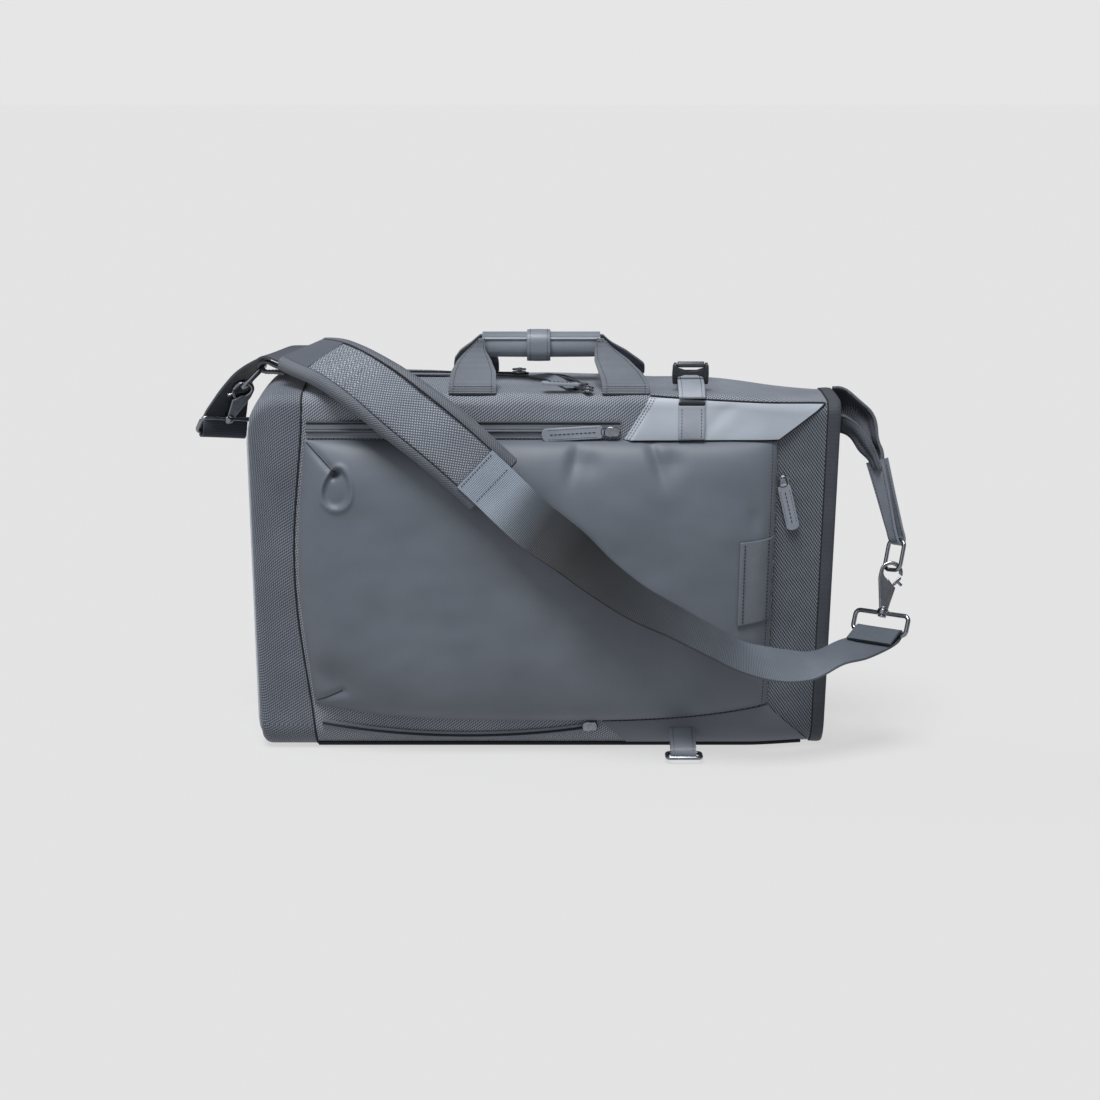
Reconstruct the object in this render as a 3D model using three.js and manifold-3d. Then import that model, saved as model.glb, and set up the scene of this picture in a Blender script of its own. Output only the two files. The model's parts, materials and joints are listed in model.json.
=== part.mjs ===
// Convertible backpack, standing on its long side in briefcase fashion with its shoulder strap over it.
// Millimetres, +Z up, X along the bag and the front facing -Y. The origin is on the ground, under the
// middle of the body.
import * as THREE from 'three';
import { mergeVertices } from 'three/addons/utils/BufferGeometryUtils.js';
import Module from 'manifold-3d';

const wasm = await Module();
wasm.setup();

// Body
const bodyLeft = 230;          // origin to the edge of the base end
const bodyRight = 228;         // origin to the rim of the mouth end
const bodyHeight = 277;        // ground to the front top seam
const frontDepth = 58;         // origin plane to the front face at its edges
const backDepth = 64;          // origin plane to the back face
const crown = 4;               // how far each face swells in its middle
const rearLift = 6;            // how much higher the back top edge stands
const wall = 3;                // nylon with its foam
const seamLeft = 181;          // origin to the seam of the base cap
const seamBow = 11;            // how far that seam bows out at mid height
const capTopRadius = 28;       // the cap's rounded top corner, seen from the front
const capFootRadius = 10;
const capEdgeRadius = 6;       // the cap's piped front and back edges
const capCrown = 5.5;
const footRadius = 20;         // front lower edge of the body
const topRadius = 9;           // front upper edge
const backRadius = 18;
const mouthDrop = 7;           // how much lower the top ends at the mouth
const wedge = 34;              // how far the back recedes at the mouth end
const frontWedge = 9;
const footTaper = 0.035;       // share by which the bag is shorter at its foot
const clearance = 0.3;         // gap between pieces that touch
const panelWall = 8;           // padded back panel
const bindingWidth = 10;       // binding round the mouth's rim
const bindingWall = 4;
const mouthCrown = 6;

// Front pocket, facings and zips
const pocketLeft = 178;
const pocketRight = 180;
const bandHeight = 33;         // nylon band between the pocket and the front top seam
const pocketTop = bodyHeight - bandHeight;
const pocketFoot = 24;
const pocketFootRise = 13;     // how much higher its lower corners sit
const pocketDepth = 24;
const pocketWall = 2;
const facingWall = 1.2;
const zipWidth = 11;
const zipWall = 1.6;
const topZipStart = -124;      // where the top zip begins, along X
const topZipRow = 20;          // how far behind the origin plane the top zip lies
const sliderLength = 11;
const sliderWidth = 8;
const sliderHeight = 4;
const pullerLength = 47;
const shortPullerLength = 30;
const pullerWidth = 10;
const pullerWall = 2.2;
const patchWidth = 26;         // leather patch by the pocket's right edge
const patchHeight = 66;
const patchMiddle = 134;       // height of its middle

// Handle
const gripLength = 94;
const gripHeight = 19;
const gripDepth = 22;
const gripRise = 41;           // how high the grip's top stands over the front top seam
const gripTop = bodyHeight + gripRise;
const keeperWidth = 18;
const keeperWall = 1.6;
const legWidth = 36;
const legTopWidth = 20;
const legFeet = { left: -52, right: 64 };
const webWall = 2;
const legLift = 1.3;           // how far a leg's folded foot stands off the top

// Straps and their fittings
const strapWidth = 38;
const padWidth = 50;
const padWall = 9;
const closurePlace = 113.5;    // where the closure strap crosses, along X
const closureWidth = 20;
const buckleWidth = 31;
const buckleHeight = 20;
const closureRise = 13;        // how high the buckle stands over the top
const earReach = 33;           // how far the gathered end stands out past the mouth's rim
const earDrop = 44;
const earSpread = 19;          // half its width where it begins
const tabWidth = 17;           // leather tabs of the strap's fittings
const wire = 3.2;              // wire of the links and the lower ring
const linkCorner = 3;
const linkSlack = 2.2;         // play of a hook's eye on its link
const ringWidth = 50;          // square rings, outside
const ringHeight = 19;
const hookThickness = 4.4;
const eyeRadius = 6;           // inside of a hook's eye
const hookBand = 2.9;          // metal round the eye
const hookReach = 29;          // swivel face to the middle of the eye
const stemRadius = 2;
const linkWidth = 19;          // oval links that the hooks clip onto, outside
const linkHeight = 27;
const stemLength = 6.5;        // swivel stem under a hook
const lowerTabPlace = 109;     // leather tab and ring at the bag's foot, along X
const lowerRingWidth = 29;
const lowerRingHeight = 16;

const clamp = (t) => Math.min(1, Math.max(0, t));
const lerp = (a, b, t) => a + (b - a) * t;
const smooth = (t) => clamp(t) ** 2 * (3 - 2 * clamp(t));
const dome = (t) => Math.max(0, 1 - t * t);
const steps = (n) => Array.from({ length: n + 1 }, (_, i) => i / n);
const sum = (a, b, k = 1) => a.map((value, i) => value + b[i] * k);
const unit = (a) => a.map((value) => value / Math.hypot(...a));
const cross = (a, b) => [a[1] * b[2] - a[2] * b[1], a[2] * b[0] - a[0] * b[2], a[0] * b[1] - a[1] * b[0]];

// Meshes and solids

function tidy(geometry) {
  const bare = geometry.index ? geometry.toNonIndexed() : geometry;
  for (const name of Object.keys(bare.attributes)) {
    if (name !== 'position') bare.deleteAttribute(name);
  }
  const merged = mergeVertices(bare, 1e-4);
  const corners = merged.index.array;
  const kept = [];
  for (let i = 0; i < corners.length; i += 3) {
    const [a, b, c] = [corners[i], corners[i + 1], corners[i + 2]];
    if (a !== b && b !== c && c !== a) kept.push(a, b, c);
  }
  merged.setIndex(kept);
  return merged;
}

function volume(geometry) {
  const at = geometry.attributes.position;
  const corners = geometry.index.array;
  let total = 0;
  for (let i = 0; i < corners.length; i += 3) {
    const [a, b, c] = [0, 1, 2].map((k) => new THREE.Vector3().fromBufferAttribute(at, corners[i + k]));
    total += a.dot(b.cross(c)) / 6;
  }
  return total;
}

function fromTriangles(points) {
  const geometry = new THREE.BufferGeometry();
  geometry.setAttribute('position', new THREE.Float32BufferAttribute(points.flat(), 3));
  const closed = tidy(geometry);
  if (volume(closed) < 0) {
    const corners = closed.index.array;
    closed.setIndex(Array.from(corners, (_, i) => corners[i - (i % 3) + [0, 2, 1][i % 3]]));
  }
  return closed;
}

function toManifold(geometry) {
  const bare = tidy(geometry);
  return new wasm.Manifold(new wasm.Mesh({
    numProp: 3,
    vertProperties: Float32Array.from(bare.attributes.position.array),
    triVerts: Uint32Array.from(bare.index.array),
  }));
}

function fromManifold(solid) {
  const mesh = solid.getMesh();
  const geometry = new THREE.BufferGeometry();
  geometry.setAttribute('position', new THREE.Float32BufferAttribute(mesh.vertProperties, 3));
  geometry.setIndex(Array.from(mesh.triVerts));
  return geometry;
}

const join = (...parts) => fromManifold(parts.map(toManifold).reduce((a, b) => a.add(b)));
const cut = (part, ...tools) => fromManifold(tools.map(toManifold).reduce((a, b) => a.subtract(b), toManifold(part)));

// A wall between an outer and an inner sheet of points, closed along its free edges
function wallBetween(outer, inner, wraps = false) {
  const quads = [];
  const rows = outer.length;
  const columns = outer[0].length;
  const across = wraps ? columns : columns - 1;
  const next = (j) => (j + 1) % columns;
  for (let i = 0; i < rows - 1; i += 1) {
    for (let j = 0; j < across; j += 1) {
      quads.push([outer[i][j], outer[i + 1][j], outer[i + 1][next(j)], outer[i][next(j)]]);
      quads.push([inner[i][next(j)], inner[i + 1][next(j)], inner[i + 1][j], inner[i][j]]);
    }
    if (!wraps) {
      quads.push([outer[i][0], inner[i][0], inner[i + 1][0], outer[i + 1][0]]);
      quads.push([outer[i + 1][across], inner[i + 1][across], inner[i][across], outer[i][across]]);
    }
  }
  for (let j = 0; j < across; j += 1) {
    quads.push([outer[0][next(j)], inner[0][next(j)], inner[0][j], outer[0][j]]);
    quads.push([outer[rows - 1][j], inner[rows - 1][j], inner[rows - 1][next(j)], outer[rows - 1][next(j)]]);
  }
  return fromTriangles(quads.flatMap(([a, b, c, d]) => [a, b, c, a, c, d]).map((p) => [...p]));
}

// A solid through rings of points, with a fan over each end
function loft(rings) {
  const triangles = [];
  const count = rings[0].length;
  for (let i = 0; i < rings.length - 1; i += 1) {
    for (let j = 0; j < count; j += 1) {
      const k = (j + 1) % count;
      const [a, b, c, d] = [rings[i][j], rings[i + 1][j], rings[i + 1][k], rings[i][k]];
      triangles.push(a, b, c, a, c, d);
    }
  }
  for (const [ring, turned] of [[rings[0], false], [rings[rings.length - 1], true]]) {
    for (let j = 1; j < count - 1; j += 1) {
      triangles.push(...(turned ? [ring[0], ring[j + 1], ring[j]] : [ring[0], ring[j], ring[j + 1]]));
    }
  }
  return fromTriangles(triangles);
}

function curveThrough(points) {
  return new THREE.CatmullRomCurve3(points.map((p) => new THREE.Vector3(...p)), false, 'centripetal');
}

// Stations along a strap: the middle, the direction across it and its width at each. A level strap keeps
// its width direction as given, however it leans.
function strapStations(rows, count, level) {
  const middle = curveThrough(rows.map((row) => row.at));
  const across = curveThrough(rows.map((row) => unit(row.across)));
  return steps(count).map((t) => {
    const along = middle.getTangent(t).toArray();
    const raw = across.getPoint(t).toArray();
    const lean = level ? 0 : raw.reduce((total, value, i) => total + value * along[i], 0);
    const square = unit(sum(raw, along, -lean));
    const place = t * (rows.length - 1);
    const k = Math.min(rows.length - 2, Math.floor(place));
    return {
      at: middle.getPoint(t).toArray(),
      across: square,
      up: unit(cross(along, square)),
      width: lerp(rows[k].width, rows[k + 1].width, place - k),
    };
  });
}

// A flat strap of one thickness through stations
function flatStrap(rows, count, thickness, level = false) {
  return loft(strapStations(rows, count, level).map((s) => [[-1, -1], [1, -1], [1, 1], [-1, 1]].map(
    ([a, b]) => sum(sum(s.at, s.across, a * s.width / 2), s.up, b * thickness / 2))));
}

// A padded strap: the same, with rounded long edges
function paddedStrap(rows, count, thickness) {
  const edge = [[-1, 0], [-0.86, -1], [0, -1.12], [0.86, -1], [1, 0], [0.86, 1], [0, 1.12], [-0.86, 1]];
  return loft(strapStations(rows, count).map((s) => edge.map(
    ([a, b]) => sum(sum(s.at, s.across, a * s.width / 2), s.up, b * thickness / 2))));
}

function wireAlong(points, radius, sides = 6) {
  const count = points.length;
  const rings = points.map((point, i) => {
    const before = points[(i + count - 1) % count];
    const after = points[(i + 1) % count];
    const along = unit(sum(after, before, -1));
    const side = unit(cross(along, [0, 1, 0]));
    const up = cross(along, side);
    return steps(sides).slice(0, sides).map((t) => sum(
      sum(point, side, radius * Math.cos(t * 2 * Math.PI)), up, radius * Math.sin(t * 2 * Math.PI)));
  });
  const triangles = [];
  for (let i = 0; i < count; i += 1) {
    const [here, there] = [rings[i], rings[(i + 1) % count]];
    for (let j = 0; j < sides; j += 1) {
      const k = (j + 1) % sides;
      triangles.push(here[j], there[j], there[k], here[j], there[k], here[k]);
    }
  }
  return fromTriangles(triangles);
}

// Points round a rounded rectangle in the local XZ plane
function roundedLoop(width, height, radius, perCorner = 3) {
  const points = [];
  for (const [k, [sx, sz]] of [[1, 1], [-1, 1], [-1, -1], [1, -1]].entries()) {
    for (const t of steps(perCorner)) {
      const angle = (k + t) * Math.PI / 2;
      points.push([sx * (width / 2 - radius) + radius * Math.cos(angle), 0,
        sz * (height / 2 - radius) + radius * Math.sin(angle)]);
    }
  }
  return points;
}

function wireRing(width, height, radius, gauge) {
  return wireAlong(roundedLoop(width - gauge, height - gauge, radius), gauge / 2);
}

function block(x0, x1, y0, y1, z0, z1) {
  const box = new THREE.BoxGeometry(x1 - x0, y1 - y0, z1 - z0);
  box.translate((x0 + x1) / 2, (y0 + y1) / 2, (z0 + z1) / 2);
  return box;
}

// A plate with rounded ends in the local XZ plane, its first end at the origin
function roundedPlate(length, width, thickness) {
  const shape = new THREE.Shape();
  const r = width * 0.3;
  shape.moveTo(r, -width / 2);
  shape.lineTo(length - r, -width / 2);
  shape.quadraticCurveTo(length, -width / 2, length, 0);
  shape.quadraticCurveTo(length, width / 2, length - r, width / 2);
  shape.lineTo(r, width / 2);
  shape.quadraticCurveTo(0, width / 2, 0, 0);
  shape.quadraticCurveTo(0, -width / 2, r, -width / 2);
  const plate = new THREE.ExtrudeGeometry(shape, { depth: thickness, bevelEnabled: false, curveSegments: 4 });
  plate.translate(0, 0, -thickness / 2);
  return plate;
}

// The body's form

// The body is straight between these stations, as shares of the way from its base to its mouth
const stations = [0, 0.11, 0.22, 0.36, 0.5, 0.61, 0.71, 0.8, 0.88, 0.95, 1];
const stationAt = (f) => lerp(-bodyLeft, bodyRight, f);
function straight(form) {
  return (x) => {
    const f = clamp((x + bodyLeft) / (bodyRight + bodyLeft));
    const k = Math.max(1, stations.findIndex((station) => station >= f));
    const [a, b] = [stations[k - 1], stations[k]];
    return lerp(form(stationAt(a)), form(stationAt(b)), (f - a) / (b - a));
  };
}
const frontAt = straight((x) => frontDepth - frontWedge * smooth((x / bodyRight - 0.72) / 0.28));
const backAt = straight((x) => backDepth - wedge * smooth((x / bodyRight - 0.1) / 0.9));
const topAt = straight((x) => bodyHeight - mouthDrop * smooth((x / bodyRight - 0.55) / 0.45));
const arcInset = (d, r) => (d >= r ? 0 : r - Math.sqrt(Math.max(0, r * r - (r - d) ** 2)));
const seamAt = (z) => -seamLeft - seamBow * dome((2 * z / bodyHeight - 1)) ** 2;

// Shortens the bag towards its foot, and swells its faces
function settle([x, y, z]) {
  const middle = (backDepth - frontDepth) / 2;
  const half = (backDepth + frontDepth) / 2;
  const q = 2 * z / bodyHeight - 1;
  const swell = crown * dome(q) * dome(x / bodyLeft * 0.9);
  const rise = Math.max(0, q);
  const p = (y - middle) / half;
  const left = smooth(0.5 - x / bodyLeft / 1.6);
  return [
    x * (1 - footTaper * (1 - z / bodyHeight)),
    y + swell * p,
    z + rise * (crown * 0.6 * dome(p) + rearLift * left * clamp((p + 1) / 2)),
  ];
}

// One section of the body across X, drawn in from the outside by an inset
function bodySection(x, inset, fromEnd = Infinity) {
  const edge = arcInset(fromEnd - inset, Math.max(1, capEdgeRadius - inset));
  const y0 = -frontAt(x) + inset + edge;
  const y1 = backAt(x) - inset - edge;
  const z0 = inset + arcInset(fromEnd - inset, Math.max(1, capFootRadius - inset));
  const z1 = topAt(x) - inset - arcInset(fromEnd - inset, Math.max(1, capTopRadius - inset));
  const radius = (r) => Math.max(1.5, r - inset);
  const corners = [
    { y: y0, z: z0, sy: 1, sz: 1, r: radius(footRadius), from: -90, side: 2 },
    { y: y1, z: z0, sy: -1, sz: 1, r: radius(backRadius * 0.6), from: -90, side: 5 },
    { y: y1, z: z1, sy: -1, sz: -1, r: radius(backRadius), from: 0, side: 6 },
    { y: y0, z: z1, sy: 1, sz: -1, r: radius(topRadius), from: 90, side: 6 },
  ];
  const points = [];
  for (const [k, corner] of corners.entries()) {
    const centre = [corner.y + corner.sy * corner.r, corner.z + corner.sz * corner.r];
    const start = k === 0 ? 180 : corner.from;
    for (const t of steps(4)) {
      const angle = (start + 90 * t) * Math.PI / 180;
      points.push([centre[0] + corner.r * Math.cos(angle), centre[1] + corner.r * Math.sin(angle)]);
    }
    const following = corners[(k + 1) % 4];
    const last = points[points.length - 1];
    const target = k === 0 || k === 2
      ? [following.y + following.sy * following.r, last[1]]
      : [last[0], following.z + following.sz * following.r];
    for (const t of steps(corner.side).slice(1, -1)) {
      points.push([lerp(last[0], target[0], t), lerp(last[1], target[1], t)]);
    }
  }
  return points;
}

const bodyRow = (x, inset, place, fromEnd) => bodySection(x, inset, fromEnd).map(
  ([y, z]) => settle([place(z), y, z]));

// Height of the body's top and depth of its front, where other pieces lie on them
function topSkin(x, y) {
  const edges = arcInset(backAt(x) - y, backRadius) + arcInset(frontAt(x) + y, topRadius);
  return settle([x, y, topAt(x) - edges])[2];
}

function frontSkin(x, z) {
  const top = topAt(x);
  const front = frontAt(x);
  const foot = arcInset(z, footRadius);
  const head = arcInset(top - z, topRadius);
  return settle([x, -front + foot + head, z]);
}

// A thin patch lying on the front: its lower and upper edges as (x, z) by share along it
function frontPatch(lower, upper, across, up, thickness, lift = clearance) {
  const sheet = (depth) => steps(up).map((v) => steps(across).map((u) => {
    const [a, b] = [lower(u), upper(u)];
    const [x, y, z] = frontSkin(lerp(a[0], b[0], v), lerp(a[1], b[1], v));
    return [x, y - depth, z];
  }));
  return wallBetween(sheet(lift + thickness), sheet(lift));
}

// Body pieces

const rimAt = bodyRight - bindingWidth;

function mainBody() {
  const end = rimAt - clearance;
  const inner = stations.map(stationAt).filter((x) => x > 16 - seamLeft && x < end - 6);
  const sheet = (inset) => [-seamLeft, ...inner, end].map((x) => bodyRow(x, inset, (z) => {
    const bow = (seamAt(z) + seamLeft) * Math.max(0, 1 - (x + seamLeft) / 60);
    return x + bow + (x > -seamLeft ? 0 : clearance / 2);
  }));
  const tube = wallBetween(sheet(0), sheet(wall), true);
  return cut(tube, openingTool(mouthOpening, 9, 30));
}

function baseCap() {
  const shares = [0, 1, 1.4, 1.7, 1.88, 2];
  const sheet = (inset) => {
    const end = -bodyLeft + inset;
    const rows = shares.map((share) => {
      const shoulder = end + capTopRadius;
      const x = share <= 1 ? lerp(-seamLeft, shoulder, share) : lerp(shoulder, end, share - 1);
      const place = (z) => (share <= 1 ? lerp(seamAt(z) - clearance / 2, shoulder, share) : x);
      return bodyRow(x, inset, place, x + bodyLeft);
    });
    const last = bodySection(-bodyLeft + inset, inset, inset);
    const middle = [(backDepth - frontDepth) / 2, bodyHeight * 0.47];
    for (const s of [0.75, 0]) {
      rows.push(last.map(([y, z]) => settle([
        end - capCrown * (1 - s ** 2), lerp(middle[0], y, s), lerp(middle[1], z, s)])));
    }
    return rows;
  };
  return wallBetween(sheet(0), sheet(wall), true);
}

// The binding stands a little proud of the mouth's rim, except under the bag
function bindingSheet(inset) {
  return [0, 0.3, 0.75, 1].map((f, i) => {
    const x = lerp(rimAt, bodyRight, f);
    const proud = [0.8, 1, 0.8, -0.8][i] * (1 - smooth(inset));
    return bodyRow(x, inset - proud, () => x).map(([a, b, c]) => [a, b, Math.max(inset ? wall : 0, c)]);
  });
}

const mouthBinding = () => wallBetween(bindingSheet(0), bindingSheet(bindingWall), true);

function mouthEnd() {
  const place = rimAt + bindingWidth * 0.3;
  const edge = bodySection(bodyRight, bindingWall + 2 * clearance);
  const centre = [(backAt(bodyRight) - frontAt(bodyRight)) / 2, bodyHeight * 0.48];
  const sheet = (depth) => [1, 0.7, 0].map((s) => edge.map(([y, z]) => settle([
    place + depth + mouthCrown * (1 - s ** 2), lerp(centre[0], y, s), Math.max(lerp(centre[1], z, s),
      wall + 3 * clearance)])));
  return wallBetween(sheet(pocketWall), sheet(0), true);
}

function backPanel() {
  const columns = stations.filter((f) => f > 0.1 && f < 0.75);
  const sheet = (depth) => steps(5).map((v) => columns.map((f, i) => {
    const z = lerp(0.1, 0.88, v) * bodyHeight;
    const swell = depth ? 2 * dome(2 * i / (columns.length - 1) - 1) * dome(2 * v - 1) : 0;
    const [x, y, height] = settle([stationAt(f), backAt(stationAt(f)), z]);
    return [x, y + clearance + depth + swell, height];
  }));
  return wallBetween(sheet(panelWall), sheet(0));
}

// Front pocket: a swelling sheet with a dart in each left corner and soft dents along its top
const pocketDents = [
  // share along, share up, reach along, reach up, depth as a share of the pocket's depth
  { along: 0.075, up: 0.84, wide: 0.035, tall: 0.05, depth: 0.42 },
  { along: 0.105, up: 0.72, wide: 0.05, tall: 0.09, depth: 0.16 },
  { along: 0.05, up: 0.12, wide: 0.05, tall: 0.07, depth: 0.26 },
  { along: 0.57, up: 0.93, wide: 0.06, tall: 0.09, depth: 0.28 },
  { along: 0.74, up: 0.93, wide: 0.05, tall: 0.08, depth: 0.22 },
  { along: 0.95, up: 0.66, wide: 0.03, tall: 0.14, depth: 0.16 },
];

function pocketBulge(u, v) {
  const rise = (t, power) => Math.sqrt(Math.max(0, 1 - Math.abs(2 * t - 1) ** power));
  const full = rise(u, 7) * rise(v, 4.5);
  const dent = pocketDents.reduce((total, d) => total
    + d.depth * Math.exp(-(((u - d.along) / d.wide) ** 2) - ((v - d.up) / d.tall) ** 2), 0);
  return Math.max(0, full - dent * full);
}

function pocketPoint(u, v, inset) {
  const foot = pocketFoot + pocketFootRise * Math.abs(2 * u - 1) ** 3;
  const z = lerp(foot + inset, pocketTop - inset, v);
  const left = seamAt(z) + seamLeft - pocketLeft;
  const x = lerp(left + inset, pocketRight - inset, u);
  const [px, py, pz] = frontSkin(x, z);
  return [px, py - clearance - (pocketDepth - inset) * pocketBulge(u, v), pz];
}

// The sheet's shares run closer together near its edges, where it turns
const easeEnds = (t) => lerp(t, (1 - Math.cos(Math.PI * t)) / 2, 0.75);

function frontPocket() {
  const sheet = (inset) => steps(12).map((v) => steps(18).map(
    (u) => pocketPoint(easeEnds(u), easeEnds(v), inset)));
  return wallBetween(sheet(0), sheet(pocketWall));
}

// The leather patch lies on the pocket, by its right edge
function labelPatch() {
  const right = pocketRight - 2 * pocketWall;
  const share = (x) => clamp((x + pocketLeft) / (pocketRight + pocketLeft));
  const sheet = (lift) => steps(4).map((v) => steps(4).map((u) => {
    const x = right - patchWidth * (1 - u);
    const z = patchMiddle + patchHeight * (v - 0.5);
    const up = clamp((z - pocketFoot) / (pocketTop - pocketFoot));
    const p = pocketPoint(share(x), up, 0);
    return [p[0], p[1] - lift, p[2]];
  }));
  return wallBetween(sheet(1.2 + facingWall), sheet(1.2));
}

function upperFacing() {
  const left = 0.35 * pocketRight;
  return frontPatch((u) => [lerp(left, pocketRight, u), pocketTop + 1],
    (u) => [lerp(left + 19, rimAt - 3, u), lerp(bodyHeight, topAt(rimAt), u) - 2], 9, 8, facingWall, 2.5 * clearance);
}

function lowerFacing() {
  const left = 0.27 * pocketRight;
  const foot = (u) => pocketFoot + pocketFootRise * Math.abs(2 * lerp(0.63, 1, u) - 1) ** 3 - 1;
  return frontPatch((u) => [lerp(left + 20, rimAt - 3, u), 5], (u) => [lerp(left, pocketRight, u), foot(u)],
    8, 7, facingWall, 3 * clearance);
}

const upperZipEnd = 0.35 * pocketRight - 3;

function upperZip() {
  const run = (z) => (u) => [lerp(seamAt(z) + 3, upperZipEnd, u), z];
  return frontPatch(run(pocketTop + 1), run(pocketTop + 1 + zipWidth), 12, 2, zipWall);
}

function lowerZip() {
  const left = -pocketLeft + 3;
  const right = 0.25 * pocketRight;
  const line = (u) => pocketFoot - 13 + 11 * Math.abs(lerp(-1, 0.9, u)) ** 2;
  return frontPatch((u) => [lerp(left, right, u), line(u) - 4], (u) => [lerp(left, right, u), line(u) + 3],
    12, 2, zipWall);
}

// The top zip runs straight, then turns forward to the front seam. Its sliders stand apart there, which
// leaves the mouth between them open.
const sliderPlaceA = [-10, topZipRow];
const sliderPlaceB = [31, -frontDepth + 12];
const zipTurn = [[0.15, 0.015], [0.49, 0.21], [0.78, 0.545], [0.975, 0.865]];
const mouthOpening = zipTurn.map(([u, v]) => [
  lerp(sliderPlaceA[0], sliderPlaceB[0], u), lerp(sliderPlaceA[1], sliderPlaceB[1], v)]);

const onTop = (x, y, lift) => {
  const [sx] = settle([x, y, bodyHeight]);
  return [sx, y, topSkin(x, y) + lift];
};

const ground = (points) => new THREE.CatmullRomCurve3(points.map(([x, y]) => new THREE.Vector3(x, y, 0)));

// A prism that follows a line on the top, for the gap between the zip's tapes
function openingTool(points, width, height) {
  const line = ground(points);
  return loft(steps(8).map((t) => {
    const p = line.getPoint(t);
    const side = line.getTangent(t).cross(new THREE.Vector3(0, 0, 1)).normalize();
    const z = topSkin(p.x, p.y);
    return [[-1, -1], [1, -1], [1, 1], [-1, 1]].map(([a, b]) => [
      p.x + side.x * a * width / 2, p.y + side.y * a * width / 2, z + b * height / 2]);
  }));
}

// A tape on the top, between two offsets from a line
function topTape(points, near, far, thickness, count) {
  const line = ground(points);
  const sheet = (lift) => steps(count).map((t) => {
    const p = line.getPoint(t);
    const side = line.getTangent(t).cross(new THREE.Vector3(0, 0, 1)).normalize();
    return steps(2).map((s) => {
      const d = lerp(near, far, s);
      return onTop(p.x + side.x * d, p.y + side.y * d, lift);
    });
  });
  return wallBetween(sheet(clearance + 0.5 + thickness), sheet(clearance + 0.5));
}

function zipSlider() {
  const bodyShape = roundedPlate(sliderLength, sliderWidth, sliderHeight);
  const bail = block(sliderLength * 0.25, sliderLength * 0.75, -1, 1, sliderHeight / 2 - 0.5, sliderHeight / 2 + 2);
  return join(bodyShape, bail);
}

// Handle

const legFoot = { front: () => -frontDepth + 5, rear: (x) => backAt(x + legWidth / 2) - 10 };

function handleLeg(side, row) {
  const y = legFoot[row](legFeet[side]);
  const sign = Math.sign(y);
  const footX = legFeet[side];
  const topX = Math.sign(footX) * (gripLength / 2 - legTopWidth / 2 - 1);
  const gripY = sign * (gripDepth / 2 + clearance + webWall / 2);
  const across = [1, 0, 0];
  const foot = Math.max(topSkin(footX - legWidth / 2, y), topSkin(footX + legWidth / 2, y)) + legLift;
  return flatStrap([
    { at: [footX, y, foot], across, width: legWidth },
    { at: [lerp(footX, topX, 0.12), y * 0.93, foot + 6], across, width: legWidth },
    { at: [lerp(footX, topX, 0.6), lerp(y, gripY, 0.55), lerp(foot, gripTop, 0.5)], across, width: legTopWidth + 10 },
    { at: [topX, gripY * 1.12, gripTop - gripHeight * 0.7], across, width: legTopWidth + 2 },
    { at: [topX, gripY, gripTop - 3], across, width: legTopWidth },
  ], 12, webWall, true);
}

function handleGrip() {
  const loop = roundedLoop(gripDepth, gripHeight, gripHeight * 0.36, 3);
  const rows = [[-1, 0.86], [-0.97, 1], [-0.4, 1], [0.4, 1], [0.97, 1], [1, 0.86]];
  return loft(rows.map(([x, s]) => loop.map(([y, , z]) => [
    x * gripLength / 2, y * s, gripTop - gripHeight / 2 + z * s])));
}

function handleKeeper() {
  const middle = -2;
  const sheet = (out) => [-1, 1].map((x) => roundedLoop(gripDepth + out, gripHeight + out, gripHeight * 0.38, 3).map(
    ([y, , z]) => [middle + x * keeperWidth / 2, y, gripTop - gripHeight / 2 + z]));
  return wallBetween(sheet(2 * (clearance + keeperWall)), sheet(2 * clearance), true);
}

// Closure strap over the mouth end, with its buckle

// The strap lies on the buckle's lower bar
const buckleGap = buckleHeight / 2 - wire - 2 * clearance - webWall / 2;

function closureStrap() {
  const x = closurePlace;
  const front = -frontAt(x) - facingWall - 4 * clearance - webWall / 2;
  const across = [1, 0, 0];
  const over = (y, lift) => [x, y, topSkin(x, y) + lift];
  return flatStrap([
    { at: [x, front - 1.2, topAt(x) - 1], across, width: closureWidth },
    { at: over(front + 7, 7), across, width: closureWidth },
    { at: over(front + 20, closureRise - buckleGap), across, width: closureWidth },
    { at: over(front + 42, closureRise - buckleGap), across, width: closureWidth },
    { at: over(front + 75, 6), across, width: closureWidth },
    { at: over(backAt(x) - 12, webWall / 2 + 2 * clearance), across, width: closureWidth },
  ], 16, webWall);
}

function closureFacing() {
  const side = closureWidth / 2;
  const run = (z) => (u) => [lerp(closurePlace - side, closurePlace + side, u) * 1.004, z];
  return frontPatch(run(pocketTop + 1.5), run(topAt(closurePlace) - 5.5), 2, 6, webWall, facingWall + 5 * clearance);
}

function buckleFrame() {
  return cut(
    join(wireRing(buckleWidth, buckleHeight, 3, wire), block(-buckleWidth / 2 + 2, buckleWidth / 2 - 2, -1.2, 1.2, 5.4, 8.6)),
    block(-buckleWidth, buckleWidth, 1.4, 4, -buckleHeight, buckleHeight));
}

// Lower tab: a leather strip folded round a ring that lies on the ground before the bag

const lowerTabWidth = lowerRingWidth - wire - 2 * linkCorner - 0.6;
const lowerBar = { y: -frontDepth - 26, z: wire / 2 + webWall + clearance + 0.8 };

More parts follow.
